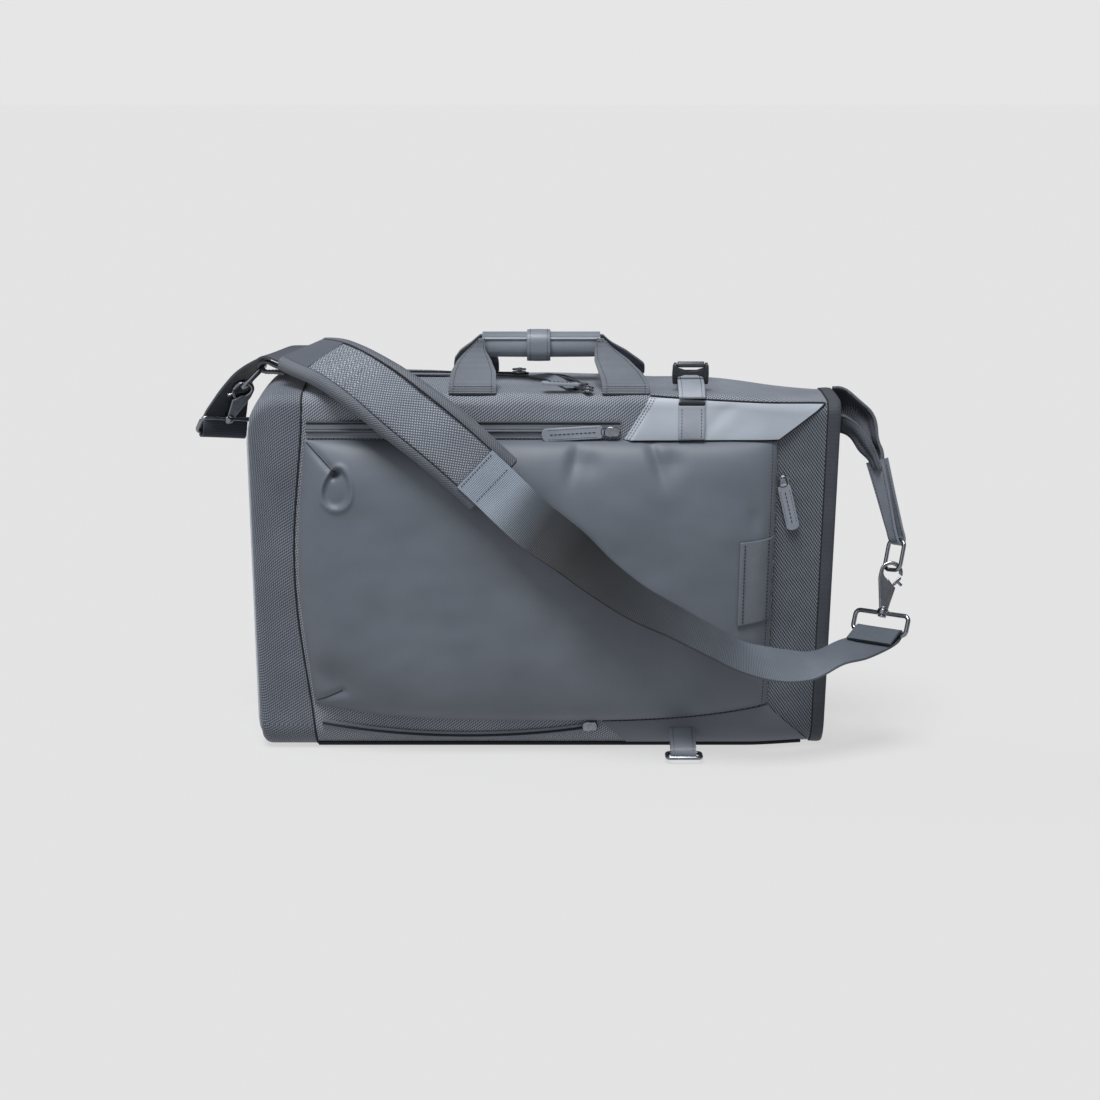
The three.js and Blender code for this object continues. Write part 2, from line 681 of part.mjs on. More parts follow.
function lowerTab() {
  const x = lowerTabPlace;
  const across = [1, 0, 0];
  const width = lowerTabWidth;
  const bar = lowerBar;
  const bend = wire / 2 + clearance + webWall / 2 + 0.3;
  return flatStrap([
    { at: [x, -frontDepth - 4, pocketFoot - 6], across, width },
    { at: [x, -frontDepth - 12, pocketFoot - 10], across, width },
    { at: [x, bar.y - bend * 0.3, bar.z + bend + 1], across, width },
    { at: [x, bar.y - bend, bar.z], across, width },
    { at: [x, bar.y, bar.z - bend], across, width },
    { at: [x, bar.y + bend + 4, bar.z - bend + 2], across, width },
    { at: [x, -frontDepth - 8, pocketFoot - 16], across, width },
  ], 20, webWall);
}

// The gathered end of the rolled mouth: a curled sheet that narrows to its sewn end. Out and deep are
// shares of its reach, down of its drop, wide and tall of its spread.
const earPath = [
  { out: 0, deep: 0.24, down: 0, wide: 1, tall: 0.84 },
  { out: 0.22, deep: 0.18, down: 0.04, wide: 0.95, tall: 0.84 },
  { out: 0.5, deep: -0.06, down: 0.24, wide: 0.74, tall: 0.74 },
  { out: 0.76, deep: -0.3, down: 0.54, wide: 0.53, tall: 0.5 },
  { out: 0.92, deep: -0.48, down: 0.8, wide: 0.45, tall: 0.32 },
  { out: 1, deep: -0.58, down: 1, wide: 0.39, tall: 0.21 },
];
const earStart = [bodyRight + clearance, 0, bodyHeight - 18];
const earPlace = (row) => [
  earStart[0] + earReach * row.out, earReach * row.deep, earStart[2] - earDrop * row.down];
const earEnd = earPlace(earPath[earPath.length - 1]);

function rollEar() {
  const middle = curveThrough(earPath.map(earPlace));
  const sheet = (inset) => steps(9).map((t) => {
    const place = t * (earPath.length - 1);
    const k = Math.min(earPath.length - 2, Math.floor(place));
    const wide = lerp(earPath[k].wide, earPath[k + 1].wide, place - k) * earSpread - inset;
    const tall = lerp(earPath[k].tall, earPath[k + 1].tall, place - k) * earSpread - inset;
    const centre = middle.getPoint(t).toArray();
    const bent = clamp(t / 0.4);
    const along = unit(sum([1 - bent, 0, 0], middle.getTangent(t).toArray(), bent));
    const up = unit(cross(along, [0, -1, 0]));
    const gap = lerp(64, 24, t);
    return steps(10).map((s) => {
      const angle = (-135 + gap + s * (360 - 2 * gap)) * Math.PI / 180;
      return sum(sum(centre, [0, 1, 0], wide * Math.cos(angle)), up, tall * Math.sin(angle));
    });
  });
  return wallBetween(sheet(0), sheet(pocketWall));
}

// The leather tab is folded round the link's upper bar, and its two plies hold the ear's end
function foldedTab(top, bar, across, width, spread) {
  const down = unit(sum(bar, top, -1));
  const side = unit(cross(down, across));
  const bend = wire / 2 + clearance + webWall / 2 + 0.5;
  const ply = (share, out, w) => ({ at: sum(sum(top, sum(bar, top, -1), share), side, out), across, width: w });
  const end = linkWidth - wire - 2 * linkCorner - 0.4;
  return flatStrap([
    ply(0, -spread, width),
    ply(0.45, lerp(-spread, -bend, 0.5), lerp(width, end, 0.5)),
    ply(0.86, -bend - 0.5, end),
    ply(1, -bend, end),
    { at: sum(bar, down, bend), across, width: end },
    ply(1, bend, end),
    ply(0.86, bend + 0.5, end),
    ply(0.45, lerp(spread, bend, 0.5), lerp(width, end, 0.5)),
    ply(0, spread, width),
  ], 32, webWall);
}

// Snap hook, in its own frame: the swivel axis is Z, and the eye stands above in the XZ plane

function hookPlate() {
  const outer = eyeRadius + hookBand;
  const shape = new THREE.Shape();
  shape.moveTo(-3.4, 0);
  shape.lineTo(3.4, 0);
  shape.lineTo(outer * 0.62, hookReach - outer * 1.25);
  shape.lineTo(outer * 0.3, hookReach - outer * 1.02);
  shape.lineTo(-eyeRadius * 0.25, hookReach - eyeRadius * 0.86);
  shape.absarc(0, hookReach, eyeRadius, -Math.PI * 0.6, -Math.PI * 1.97, true);
  shape.lineTo(outer, hookReach - 1);
  shape.absarc(0, hookReach, outer, 0, Math.PI, false);
  shape.lineTo(-outer, hookReach - eyeRadius);
  shape.lineTo(-3.4, 0);
  const plate = new THREE.ExtrudeGeometry(shape, { depth: hookThickness, bevelEnabled: false, curveSegments: 10 });
  plate.translate(0, 0, -hookThickness / 2);
  plate.rotateX(Math.PI / 2);
  return plate;
}

const turned = (profile, sides) => {
  const lathe = new THREE.LatheGeometry(profile.map(([r, z]) => new THREE.Vector2(r, z)), sides);
  return fromTriangles(Array.from(
    lathe.rotateX(Math.PI / 2).toNonIndexed().attributes.position.array));
};

function hookBody() {
  const head = stemRadius + 1.4;
  return join(hookPlate(), turned([[0, -stemLength], [head, -stemLength], [head, -stemLength + 1.6],
    [stemRadius, -stemLength + 1.6], [stemRadius, 0.4], [0, 0.4]], 12));
}

// The gate turns on a pin in the hook's shoulder and closes the eye
const gatePin = [eyeRadius * 0.66, hookReach - eyeRadius - hookBand + 0.4];
const gateTip = [eyeRadius + hookBand * 0.62, hookReach - 2.4];

function hookGate() {
  const length = Math.hypot(gateTip[0] - gatePin[0], gateTip[1] - gatePin[1]);
  const hub = clearance * 2.5;
  const plate = roundedPlate(length + hub, 2.4, hookThickness - 1.4).translate(-hub, 0, 0);
  const stud = block(length * 0.34, length * 0.62, -5, -0.6, -1.1, 1.1);
  return join(plate, stud).rotateX(Math.PI / 2);
}

const ringGauge = wire + 0.4;
const bossTop = -clearance;
const bossFoot = -stemLength + 1.6 + clearance;
const barDrop = -bossFoot - 1.4 + ringHeight - ringGauge;

// Square ring with the boss that the hook's stem turns in
function squareRing() {
  const ring = wireRing(ringWidth, ringHeight, 4, ringGauge);
  ring.translate(0, 0, -barDrop + (ringHeight - ringGauge) / 2);
  const bore = stemRadius + clearance;
  const rounded = turned([[0, bossFoot], [4.4, bossFoot], [4.4, bossTop], [0, bossTop]], 14);
  return cut(join(ring, rounded), turned([[0, bossFoot - 3], [bore, bossFoot - 3], [bore, 3], [0, 3]], 14),
    turned([[0, bossFoot - 4], [stemRadius + 2, bossFoot - 4], [stemRadius + 2, bossFoot], [0, bossFoot]], 14));
}

// Colours, roughness and metalness
const finishes = {
  nylon: { color: 0x4a4f58, roughness: 0.85, metalness: 0 },
  smoothFabric: { color: 0x5d646e, roughness: 0.55, metalness: 0 },
  webbing: { color: 0x4c515b, roughness: 0.8, metalness: 0 },
  leather: { color: 0x5a616b, roughness: 0.6, metalness: 0 },
  mesh: { color: 0x555b65, roughness: 0.9, metalness: 0 },
  zip: { color: 0x33373e, roughness: 0.7, metalness: 0 },
  metal: { color: 0x3c3f44, roughness: 0.35, metalness: 0.9 },
};

const group = new THREE.Group();

function add(name, geometry, finish, parent = group) {
  const mesh = new THREE.Mesh(geometry, new THREE.MeshStandardMaterial(finishes[finish]));
  mesh.name = name;
  parent.add(mesh);
  return mesh;
}

// A group whose local X and Z axes point along two directions, at a place
function placed(at, xAxis, zAxis) {
  const z = unit(zAxis);
  const y = unit(cross(z, xAxis));
  const x = cross(y, z);
  const holder = new THREE.Group();
  holder.matrixAutoUpdate = false;
  holder.matrix.makeBasis(new THREE.Vector3(...x), new THREE.Vector3(...y), new THREE.Vector3(...z))
    .setPosition(...at);
  holder.matrix.decompose(holder.position, holder.quaternion, holder.scale);
  holder.matrixAutoUpdate = true;
  group.add(holder);
  return holder;
}

// The body's pieces
add('base_cap', baseCap(), 'nylon');
add('main_body', mainBody(), 'nylon');
add('mouth_binding', mouthBinding(), 'webbing');
add('mouth_end', mouthEnd(), 'nylon');
add('back_panel', backPanel(), 'mesh');
add('front_pocket', frontPocket(), 'smoothFabric');
add('label_patch', labelPatch(), 'leather');
add('upper_facing', upperFacing(), 'smoothFabric');
add('lower_facing', lowerFacing(), 'smoothFabric');
add('roll_ear', rollEar(), 'nylon');

// Zips, with their sliders and pullers
add('front_zip', upperZip(), 'zip');
add('lower_zip', lowerZip(), 'zip');
add('top_zip', topTape([[topZipStart, topZipRow], [-60, topZipRow], sliderPlaceA], -7, 7, 1.2, 8), 'zip');
add('top_tape_front', topTape(mouthOpening, 5, 11, 1, 8), 'zip');
add('top_tape_rear', topTape(mouthOpening, -5, -11, 1, 8), 'zip');

// A slider stands on the front, or on the top, with its puller running on from it
function sliderOnFront(name, x, z, along, lift) {
  const [px, py, pz] = frontSkin(x, z);
  add(name, zipSlider(), 'metal', placed([px, py - lift - sliderHeight / 2, pz], along, [0, -1, 0]));
}

function pullerOnFront(name, x, z, along, lift, length) {
  const [px, py, pz] = frontSkin(x, z);
  const at = sum([px, py - lift - pullerWall / 2, pz], unit(along), 0.5);
  add(name, roundedPlate(length, pullerWidth, pullerWall), 'leather', placed(at, along, [0, -1, 0]));
}

const zipMiddle = pocketTop + 1 + zipWidth / 2;
const onZip = zipWall + 2 * clearance;
sliderOnFront('front_slider', upperZipEnd - sliderLength - 1, zipMiddle, [1, 0, 0], onZip);
pullerOnFront('front_puller', upperZipEnd - sliderLength - 1, zipMiddle, [-1, 0, -0.06], onZip + 2 * clearance, pullerLength);
sliderOnFront('lower_slider', 0.25 * pocketRight - sliderLength - 1, pocketFoot - 4.5, [1, 0, 0.1], onZip);
sliderOnFront('side_slider', pocketRight + 6, 0.78 * bodyHeight - sliderLength, [0, 0, 1], 3 * clearance);
pullerOnFront('side_puller', pocketRight + 6, 0.78 * bodyHeight - sliderLength, [0.2, 0, -0.98],
  4 * clearance, pullerLength * 0.75);

function sliderOnTop(name, [x, y], along, lift) {
  add(name, zipSlider(), 'metal', placed(onTop(x, y, lift + sliderHeight / 2), along, [0, 0, 1]));
}

const onTape = 1.2 + 0.5 + 2 * clearance;
sliderOnTop('top_slider_a', [sliderPlaceA[0] - sliderLength - 2, sliderPlaceA[1]], [1, 0, 0], onTape);
sliderOnTop('top_slider_b', [sliderPlaceB[0] + 1, sliderPlaceB[1] + 1], [0.5, -0.86, 0], 1);
add('top_puller', roundedPlate(shortPullerLength, pullerWidth, pullerWall), 'leather', placed(
  onTop(sliderPlaceB[0] - 6, sliderPlaceB[1] + 2, onTape + pullerWall / 2 + 0.6), [-1, -0.12, 0.02], [0, 0, 1]));

// Handle
add('handle_grip', handleGrip(), 'nylon');
add('handle_keeper', handleKeeper(), 'leather');
add('handle_leg_front_left', handleLeg('left', 'front'), 'webbing');
add('handle_leg_front_right', handleLeg('right', 'front'), 'webbing');
add('handle_leg_rear_left', handleLeg('left', 'rear'), 'webbing');
add('handle_leg_rear_right', handleLeg('right', 'rear'), 'webbing');

// Closure strap and its buckle
add('closure_strap', closureStrap(), 'leather');
add('closure_facing', closureFacing(), 'leather');
const buckleDeep = -frontAt(closurePlace) + 19;
add('buckle', buckleFrame(), 'metal', placed(
  [closurePlace, buckleDeep, topSkin(closurePlace, buckleDeep) + closureRise], [1, 0, 0], [0, -0.35, 0.94]));

// Lower tab and its ring on the ground
add('lower_tab', lowerTab(), 'leather');
add('lower_ring', wireRing(lowerRingWidth, lowerRingHeight, linkCorner, wire), 'metal', placed(
  [lowerTabPlace, lowerBar.y - (lowerRingHeight - wire) / 2, lowerBar.z], [1, 0, 0], [0, 1, 0]));

// A fitting hangs in a line from its tab: link, snap hook, square ring, then the strap's folded end.
// Leans are directions from each piece down to the next.
function hangFitting(side, tab, barAt, linkAcross, linkLean, hookLean, hookAcross, ringAcross) {
  add(side + '_tab', foldedTab(tab.root, barAt, linkAcross, tab.width, tab.spread), 'leather');
  const linkDown = unit(linkLean);
  const linkMiddle = sum(barAt, linkDown, (linkHeight - wire) / 2);
  const linkUp = linkDown.map((value) => -value);
  add(side + '_link', wireRing(linkWidth, linkHeight, linkCorner, wire), 'metal',
    placed(linkMiddle, linkAcross, linkUp));
  const hookDown = unit(hookLean);
  const hookUp = hookDown.map((value) => -value);
  const linkFoot = sum(barAt, linkDown, linkHeight - wire);
  const swivel = sum(linkFoot, hookDown, hookReach + eyeRadius - wire / 2 - linkSlack);
  const hook = placed(swivel, hookAcross, hookUp);
  add(side + '_hook', hookBody(), 'metal', hook);
  const gate = add(side + '_gate', hookGate(), 'metal', hook);
  gate.position.set(gatePin[0], 0, gatePin[1]);
  gate.rotation.y = -Math.atan2(gateTip[1] - gatePin[1], gateTip[0] - gatePin[0]);
  const ring = placed(swivel, ringAcross, hookUp);
  add(side + '_square_ring', squareRing(), 'metal', ring);
  ring.updateMatrixWorld(true);
  const across = new THREE.Vector3().setFromMatrixColumn(ring.matrixWorld, 0).toArray();
  return { bar: sum(swivel, hookDown, barDrop), across };
}

// Each tab runs from its root on the bag down to the bar it is folded round
const rightTabRun = [14.8, -11.5, -54.5];
const right = hangFitting('right',
  { root: sum(earEnd, [-1, 1, 6]), width: tabWidth, spread: 0.4 * earSpread }, sum(earEnd, rightTabRun),
  [0.62, -0.78, 0.05], [-0.2, -0.3, -0.93], [-0.22, -0.31, -0.92], [1, 0, 0], [0.75, -0.65, -0.1]);

const leftRoot = onTop(-bodyLeft + 30, 0.28 * backDepth, clearance + webWall / 2 + 1.6);
const leftTabRun = [-18, 2, 3.5];
const left = hangFitting('left',
  { root: leftRoot, width: tabWidth, spread: 1.4 }, sum(leftRoot, leftTabRun),
  [0.1, 0.99, 0], [-0.7, 0.12, -0.71], [-0.42, 0.44, -0.8], [-0.92, -0.4, 0], [0.6, 0.68, -0.42]);

// A strap's end goes over its bar and back under itself
function loopRows(fitting, away, out, length) {
  const down = unit(away);
  const b = fitting.across;
  const flat = unit(sum(down, b, -down.reduce((total, value, i) => total + value * b[i], 0)));
  const face = unit(sum(out, flat, -out.reduce((total, value, i) => total + value * flat[i], 0)));
  const lift = ringGauge / 2 + clearance + webWall / 2 + 0.3;
  const row = (along, up) => ({
    at: sum(sum(fitting.bar, flat, along), face, up), across: b, width: strapWidth });
  return [row(length, lift + 0.4), row(length * 0.5, lift + 0.2), row(0, lift), row(-lift * 0.8, lift * 0.62),
    row(-lift, 0), row(-lift * 0.8, -lift * 0.62), row(1.5, -lift * 0.9), row(length * 0.6, -lift * 0.4)];
}

// The strap in front, from its right end up to the pad. Along is a share of bodyRight, up of bodyHeight,
// and out is how many strap widths it stands before the pocket.
const frontRun = [
  { along: 1.044, out: -0.434, up: 0.298, across: [0.5, -0.85, -0.12] },
  { along: 0.96, out: -0.16, up: 0.285, across: [0.2, -0.97, -0.07] },
  { along: 0.859, out: 0.16, up: 0.276, across: [0.1, -0.92, -0.36] },
  { along: 0.759, out: 0.38, up: 0.287, across: [0.02, -0.88, -0.43] },
  { along: 0.656, out: 0.46, up: 0.312, across: [-0.12, -0.91, -0.36] },
  { along: 0.556, out: 0.48, up: 0.355, across: [-0.18, -0.9, -0.35] },
  { along: 0.433, out: 0.48, up: 0.41, across: [-0.22, -0.88, -0.38] },
  { along: 0.315, out: 0.46, up: 0.46, across: [-0.28, -0.82, -0.46] },
  { along: 0.193, out: 0.42, up: 0.531, across: [-0.4, -0.72, -0.52] },
  { along: 0.088, out: 0.37, up: 0.604, across: [-0.5, -0.52, -0.66] },
  { along: -0.02, out: 0.32, up: 0.67, across: [-0.56, -0.3, -0.76] },
  { along: -0.095, out: 0.34, up: 0.729, across: [-0.6, -0.1, -0.78] },
];
// The pad, from its lower end over the top edge. Deep is a share of the pocket face's depth.
const padRun = [
  { along: -0.155, deep: 1.07, up: 0.778, across: [-0.6, -0.04, -0.8] },
  { along: -0.225, deep: 1.07, up: 0.832, across: [-0.65, -0.02, -0.76] },
  { along: -0.332, deep: 1.047, up: 0.908, across: [-0.65, -0.08, -0.75] },
  { along: -0.447, deep: 0.953, up: 0.976, across: [-0.63, -0.26, -0.73] },
  { along: -0.555, deep: 0.779, up: 1.032, across: [-0.56, -0.55, -0.62] },
  { along: -0.683, deep: 0.488, up: 1.079, across: [-0.44, -0.75, -0.49] },
  { along: -0.8, deep: 0.14, up: 1.0935, across: [-0.35, -0.89, -0.29] },
];
// The strap behind, from the pad down to the left ring
const rearRun = [
  { along: -0.8025, deep: 0.132, up: 1.0938, across: [-0.35, -0.89, -0.29] },
  { along: -0.835, deep: 0.03, up: 1.093, across: [-0.25, -0.95, -0.18] },
  { along: -0.917, deep: -0.2, up: 1.083, across: [-0.12, -0.98, 0.03] },
  { along: -1.035, deep: -0.4, up: 1.012, across: [-0.22, -0.95, 0.2] },
  { along: -1.1, deep: -0.485, up: 0.912, across: [-0.5, -0.74, 0.44] },
];

// Where the front strap lies on the pad's lower end
const padEndRun = [{ along: -0.155, up: 0.778, across: [-0.62, -0.06, -0.79] },
  { along: -0.215, up: 0.825, across: [-0.65, -0.04, -0.76] }];

const pocketFace = frontDepth + crown + pocketDepth;
const station = (row, width) => ({
  at: [row.along * bodyRight,
    row.deep === undefined ? -pocketFace - row.out * strapWidth : -row.deep * pocketFace, row.up * bodyHeight],
  across: row.across,
  width,
});

const frontRows = [...loopRows(right, [-0.66, -0.6, -0.45], [-0.35, -0.52, 0.78], 16),
  ...frontRun.map((row) => station(row, strapWidth)),
  ...padEndRun.map((row) => ({ ...station({ ...row, deep: padRun[0].deep }, strapWidth) }))
    .map((row) => ({ ...row, at: sum(row.at, [0, -padWall * 0.56 - webWall / 2 - 2 * clearance, 0]) }))];
add('strap_front', flatStrap(frontRows, 42, webWall), 'webbing');
add('shoulder_pad', paddedStrap(padRun.map((row) => station(row, padWidth)), 22, padWall), 'mesh');
const rearRows = [...rearRun.map((row) => station(row, strapWidth)),
  ...loopRows(left, [0.25, 0.25, 0.93], [0.5, -0.6, 0.3], 10).reverse()
    .map((row) => ({ ...row, across: row.across.map((value) => -value) }))];
add('strap_rear', flatStrap(rearRows, 36, webWall), 'webbing');

export default group;
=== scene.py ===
# %% [markdown]
# # A convertible backpack in briefcase form
# A soft bag stands on its long side. Its shell is twill nylon, its pocket and facings are a smoother
# coated fabric, and a padded strap hangs over it from two snap hooks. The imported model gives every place
# in one frame, so each piece here is built straight into that frame, in millimetres, and scaled to metres.

# %% Load the frame
import json
import math

import bpy
from mathutils import Matrix, Vector, noise


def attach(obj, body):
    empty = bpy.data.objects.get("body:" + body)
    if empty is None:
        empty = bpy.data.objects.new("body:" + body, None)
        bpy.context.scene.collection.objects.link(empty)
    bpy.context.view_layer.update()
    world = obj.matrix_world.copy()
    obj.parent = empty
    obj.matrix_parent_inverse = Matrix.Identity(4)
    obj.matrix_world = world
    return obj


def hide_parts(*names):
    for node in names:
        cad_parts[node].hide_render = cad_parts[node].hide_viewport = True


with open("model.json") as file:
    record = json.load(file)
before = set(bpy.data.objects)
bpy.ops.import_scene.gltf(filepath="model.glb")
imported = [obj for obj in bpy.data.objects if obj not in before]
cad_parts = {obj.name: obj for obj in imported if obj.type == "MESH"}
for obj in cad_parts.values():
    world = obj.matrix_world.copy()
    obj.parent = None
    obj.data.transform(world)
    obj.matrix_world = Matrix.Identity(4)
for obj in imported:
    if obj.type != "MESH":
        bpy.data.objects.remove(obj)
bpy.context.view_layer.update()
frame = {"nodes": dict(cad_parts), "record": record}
MM = 0.001
print("frame loaded:", len(frame["nodes"]), "solids")

# %% [markdown]
# ## Camera, light and ground
# The photograph was taken with a long lens from a little above the bag. The light is a soft sun
# overhead, so whatever faces up is pale, with weak fills from the front and the side. The ground is pale
# and takes only a weak shadow.


# %% Scene helpers
def add_object(name, data):
    made = bpy.data.objects.new(name, data)
    bpy.context.scene.collection.objects.link(made)
    return made


def deselect():
    bpy.ops.object.select_all(action="DESELECT")


def select_only(piece):
    deselect()
    piece.select_set(True)
    bpy.context.view_layer.objects.active = piece


# %% Camera
CAMERA_TILT = math.radians(12)
CAMERA_DISTANCE = 1.8
LOOK_AT = Vector((0.0067, 0, 0.146))
camera_data = bpy.data.cameras.new("camera")
camera_data.sensor_width = 36
camera_data.lens = 74.57
camera = add_object("camera", camera_data)
camera.location = LOOK_AT + CAMERA_DISTANCE * Vector((0, -math.cos(CAMERA_TILT), math.sin(CAMERA_TILT)))
camera.rotation_euler = (math.pi / 2 - CAMERA_TILT, 0, 0)
bpy.context.scene.camera = camera
bpy.context.scene.view_settings.view_transform = "Standard"
print("camera at", [round(c, 3) for c in camera.location])


# %% Light
def add_sun(name, strength, softness, tilt, turn):
    sun = bpy.data.lights.new(name, "SUN")
    sun.energy = strength
    sun.angle = math.radians(softness)
    add_object(name, sun).rotation_euler = (math.radians(tilt), 0, math.radians(turn))


add_sun("overhead", 4.5, 28, 22, -20)
add_sun("front fill", 0.55, 60, 66, -30)
add_sun("side rim", 0.9, 30, 62, -115)

world = bpy.data.worlds.new("studio")
bpy.context.scene.world = world
world.use_nodes = True
world_nodes = world.node_tree.nodes
world_links = world.node_tree.links
backdrop = world_nodes["Background"]
backdrop.inputs["Color"].default_value = (0.79, 0.79, 0.79, 1)
room = world_nodes.new("ShaderNodeBackground")
room.inputs["Color"].default_value = (0.36, 0.37, 0.385, 1)
room.inputs["Strength"].default_value = 0.5
seen = world_nodes.new("ShaderNodeLightPath")
choose = world_nodes.new("ShaderNodeMixShader")
world_links.new(seen.outputs["Is Camera Ray"], choose.inputs["Fac"])
world_links.new(room.outputs["Background"], choose.inputs[1])
world_links.new(backdrop.outputs["Background"], choose.inputs[2])
world_links.new(choose.outputs["Shader"], world_nodes["World Output"].inputs["Surface"])


# %% Ground
deselect()
bpy.ops.mesh.primitive_plane_add(size=60, location=(0, 0, -0.0002))
ground = bpy.context.object
ground.name = "ground"
ground_material = bpy.data.materials.new("pale ground")
ground_material.use_nodes = True
ground_shader = ground_material.node_tree.nodes["Principled BSDF"]
ground_shader.inputs["Base Color"].default_value = (0.1, 0.1, 0.1, 1)
ground_shader.inputs["Roughness"].default_value = 1
ground_shader.inputs["Specular IOR Level"].default_value = 0
ground_shader.inputs["Emission Color"].default_value = (1, 1, 1, 1)
ground_shader.inputs["Emission Strength"].default_value = 0.6
ground.data.materials.append(ground_material)

# %% [markdown]
# ## Fabrics, leather and metal
# One slate colour runs over the whole bag, so the finishes differ by weave and sheen; the pale upper facing,
# the dark rear strap and the changing tone of the shoulder strap are painted light and shade. Each cloth
# piece carries a UV map laid out in metres along its threads, so that a twill line or a rib has its real
# width wherever the piece bends. Small waves drive both the colour and the bump.


# %% Node helpers
def start_material(name, colour, roughness, sheen=0.0, metallic=0.0):
    material = bpy.data.materials.new(name)
    material.use_nodes = True
    shader = material.node_tree.nodes["Principled BSDF"]
    shader.inputs["Base Color"].default_value = (*colour, 1)
    shader.inputs["Roughness"].default_value = roughness
    shader.inputs["Metallic"].default_value = metallic
    shader.inputs["Sheen Weight"].default_value = sheen
    shader.inputs["Sheen Roughness"].default_value = 0.4
    shader.inputs["Specular IOR Level"].default_value = 0.3
    return material


def node(material, kind, **values):
    made = material.node_tree.nodes.new(kind)
    for name, value in values.items():
        if name in made.inputs:
            made.inputs[name].default_value = value
        else:
            setattr(made, name, value)
    return made


def link(material, source, target):
    material.node_tree.links.new(source, target)


def math_node(material, operation, first, second):
    made = node(material, "ShaderNodeMath", operation=operation)
    for socket, value in zip(made.inputs, (first, second)):
        if hasattr(value, "is_linked"):
            link(material, value, socket)
        else:
            socket.default_value = value
    return made.outputs[0]


# %% Threads
def thread_wave(material, pitch, angle):
    """Parallel threads a pitch apart (mm), turned by an angle (degrees) on the cloth."""
    place = node(material, "ShaderNodeTexCoord")
    turn = node(material, "ShaderNodeMapping")
    turn.inputs["Rotation"].default_value = (0, 0, math.radians(angle))
    link(material, place.outputs["UV"], turn.inputs["Vector"])
    wave = node(material, "ShaderNodeTexWave", Scale=math.pi / 10 / (pitch * MM))
    link(material, turn.outputs["Vector"], wave.inputs["Vector"])
    return wave.outputs["Fac"]


def cloudy(material, size, detail=3.0):
    """Soft unevenness about so many millimetres across."""
    place = node(material, "ShaderNodeTexCoord")
    cloud = node(material, "ShaderNodeTexNoise", Scale=1 / (size * MM), Detail=detail)
    link(material, place.outputs["Object"], cloud.inputs["Vector"])
    return cloud.outputs["Fac"]


def colour_ramp(material, factor, stops):
    """The colour that a factor picks between stops of place and colour."""
    ramp = node(material, "ShaderNodeValToRGB")
    elements = ramp.color_ramp.elements
    for place, _ in stops[1:-1]:
        elements.new(place)
    for element, (place, colour) in zip(elements, stops):
        element.position, element.color = place, (*colour, 1)
    link(material, factor, ramp.inputs["Fac"])
    return ramp.outputs["Color"]


def multiplied(material, colour, tint):
    mix = node(material, "ShaderNodeMix", data_type="RGBA", blend_type="MULTIPLY")
    mix.inputs["Factor"].default_value = 1
    link(material, colour, mix.inputs[6])
    link(material, tint, mix.inputs[7])
    return mix.outputs[2]


def shade_by(material, height, dark, light, bump=0.0, reach=0.0004, patch=None, ends=(0.0, 1.0)):
    """Colours the cloth from dark to light by a height, and raises it by the same height."""
    shader = material.node_tree.nodes["Principled BSDF"]
    colour = colour_ramp(material, height, ((ends[0], dark), (ends[1], light)))
    if patch is not None:
        spread = colour_ramp(material, patch, ((0.25, (0.84, 0.85, 0.87)), (0.75, (1.1, 1.1, 1.1))))
        colour = multiplied(material, colour, spread)
    link(material, colour, shader.inputs["Base Color"])
    if bump:
        raised = node(material, "ShaderNodeBump", Strength=bump, Distance=reach)
        link(material, height, raised.inputs["Height"])
        link(material, raised.outputs["Normal"], shader.inputs["Normal"])
    return material


# %% Twill nylon
def twill(name, angle, dark, light, pitch=1.95):
    """Diagonal lines of yarn, each broken into short floats by a finer wave across it."""
    material = start_material(name, light, 0.62, sheen=0.12)
    line = thread_wave(material, pitch, angle)
    yarn = thread_wave(material, pitch * 0.8, angle + 62)
    floats = math_node(material, "MULTIPLY", yarn, 0.45)
    height = math_node(material, "ADD", math_node(material, "MULTIPLY", line, 0.55), floats)
    return shade_by(material, height, dark, light, 0.6, 0.0005, cloudy(material, 38), (0.28, 0.8))


SHADOW_YARN = (0.030, 0.035, 0.045)
SLATE_YARN = (0.155, 0.175, 0.210)
base_twill = twill("base twill", -58, SHADOW_YARN, (0.150, 0.168, 0.203))
side_twill = twill("side twill", -38, (0.012, 0.015, 0.020), (0.150, 0.170, 0.203))
top_twill = twill("top twill", -55, (0.040, 0.046, 0.058), (0.260, 0.285, 0.330), 1.8)
roll_twill = twill("roll twill", 60, (0.018, 0.021, 0.028), (0.088, 0.098, 0.118), 1.5)
grip_twill = twill("grip twill", 45, (0.070, 0.080, 0.098), (0.210, 0.233, 0.270), 1.5)
edge_twill = twill("edge tape twill", 45, (0.040, 0.046, 0.056), (0.135, 0.150, 0.178), 1.5)


# %% Smooth coated fabric
def coated(name, dark, light, roughness=0.5):
    material = start_material(name, light, roughness, sheen=0.1)
    weave = math_node(material, "MULTIPLY", thread_wave(material, 0.9, 0), thread_wave(material, 0.9, 90))
    return shade_by(material, weave, dark, light, 0.12, 0.0002, cloudy(material, 60))


pocket_cloth = coated("pocket cloth", (0.088, 0.101, 0.122), (0.108, 0.123, 0.147))
# painted light: the upper facing is the pocket's coated cloth made nearly three times paler, for the overhead
# light on its lean
painted_lit_facing_cloth = coated("facing cloth painted pale", (0.270, 0.300, 0.342), (0.312, 0.345, 0.390), 0.46)
grip_cloth = coated("grip cloth", (0.165, 0.185, 0.218), (0.200, 0.223, 0.262))
pad_tape_cloth = coated("pad end cloth", (0.066, 0.075, 0.092), (0.086, 0.097, 0.117))
piping_cloth = coated("piping cloth", (0.300, 0.325, 0.360), (0.350, 0.378, 0.415))
end_cloth = coated("base end cloth", (0.100, 0.115, 0.140), (0.130, 0.148, 0.176), 0.42)


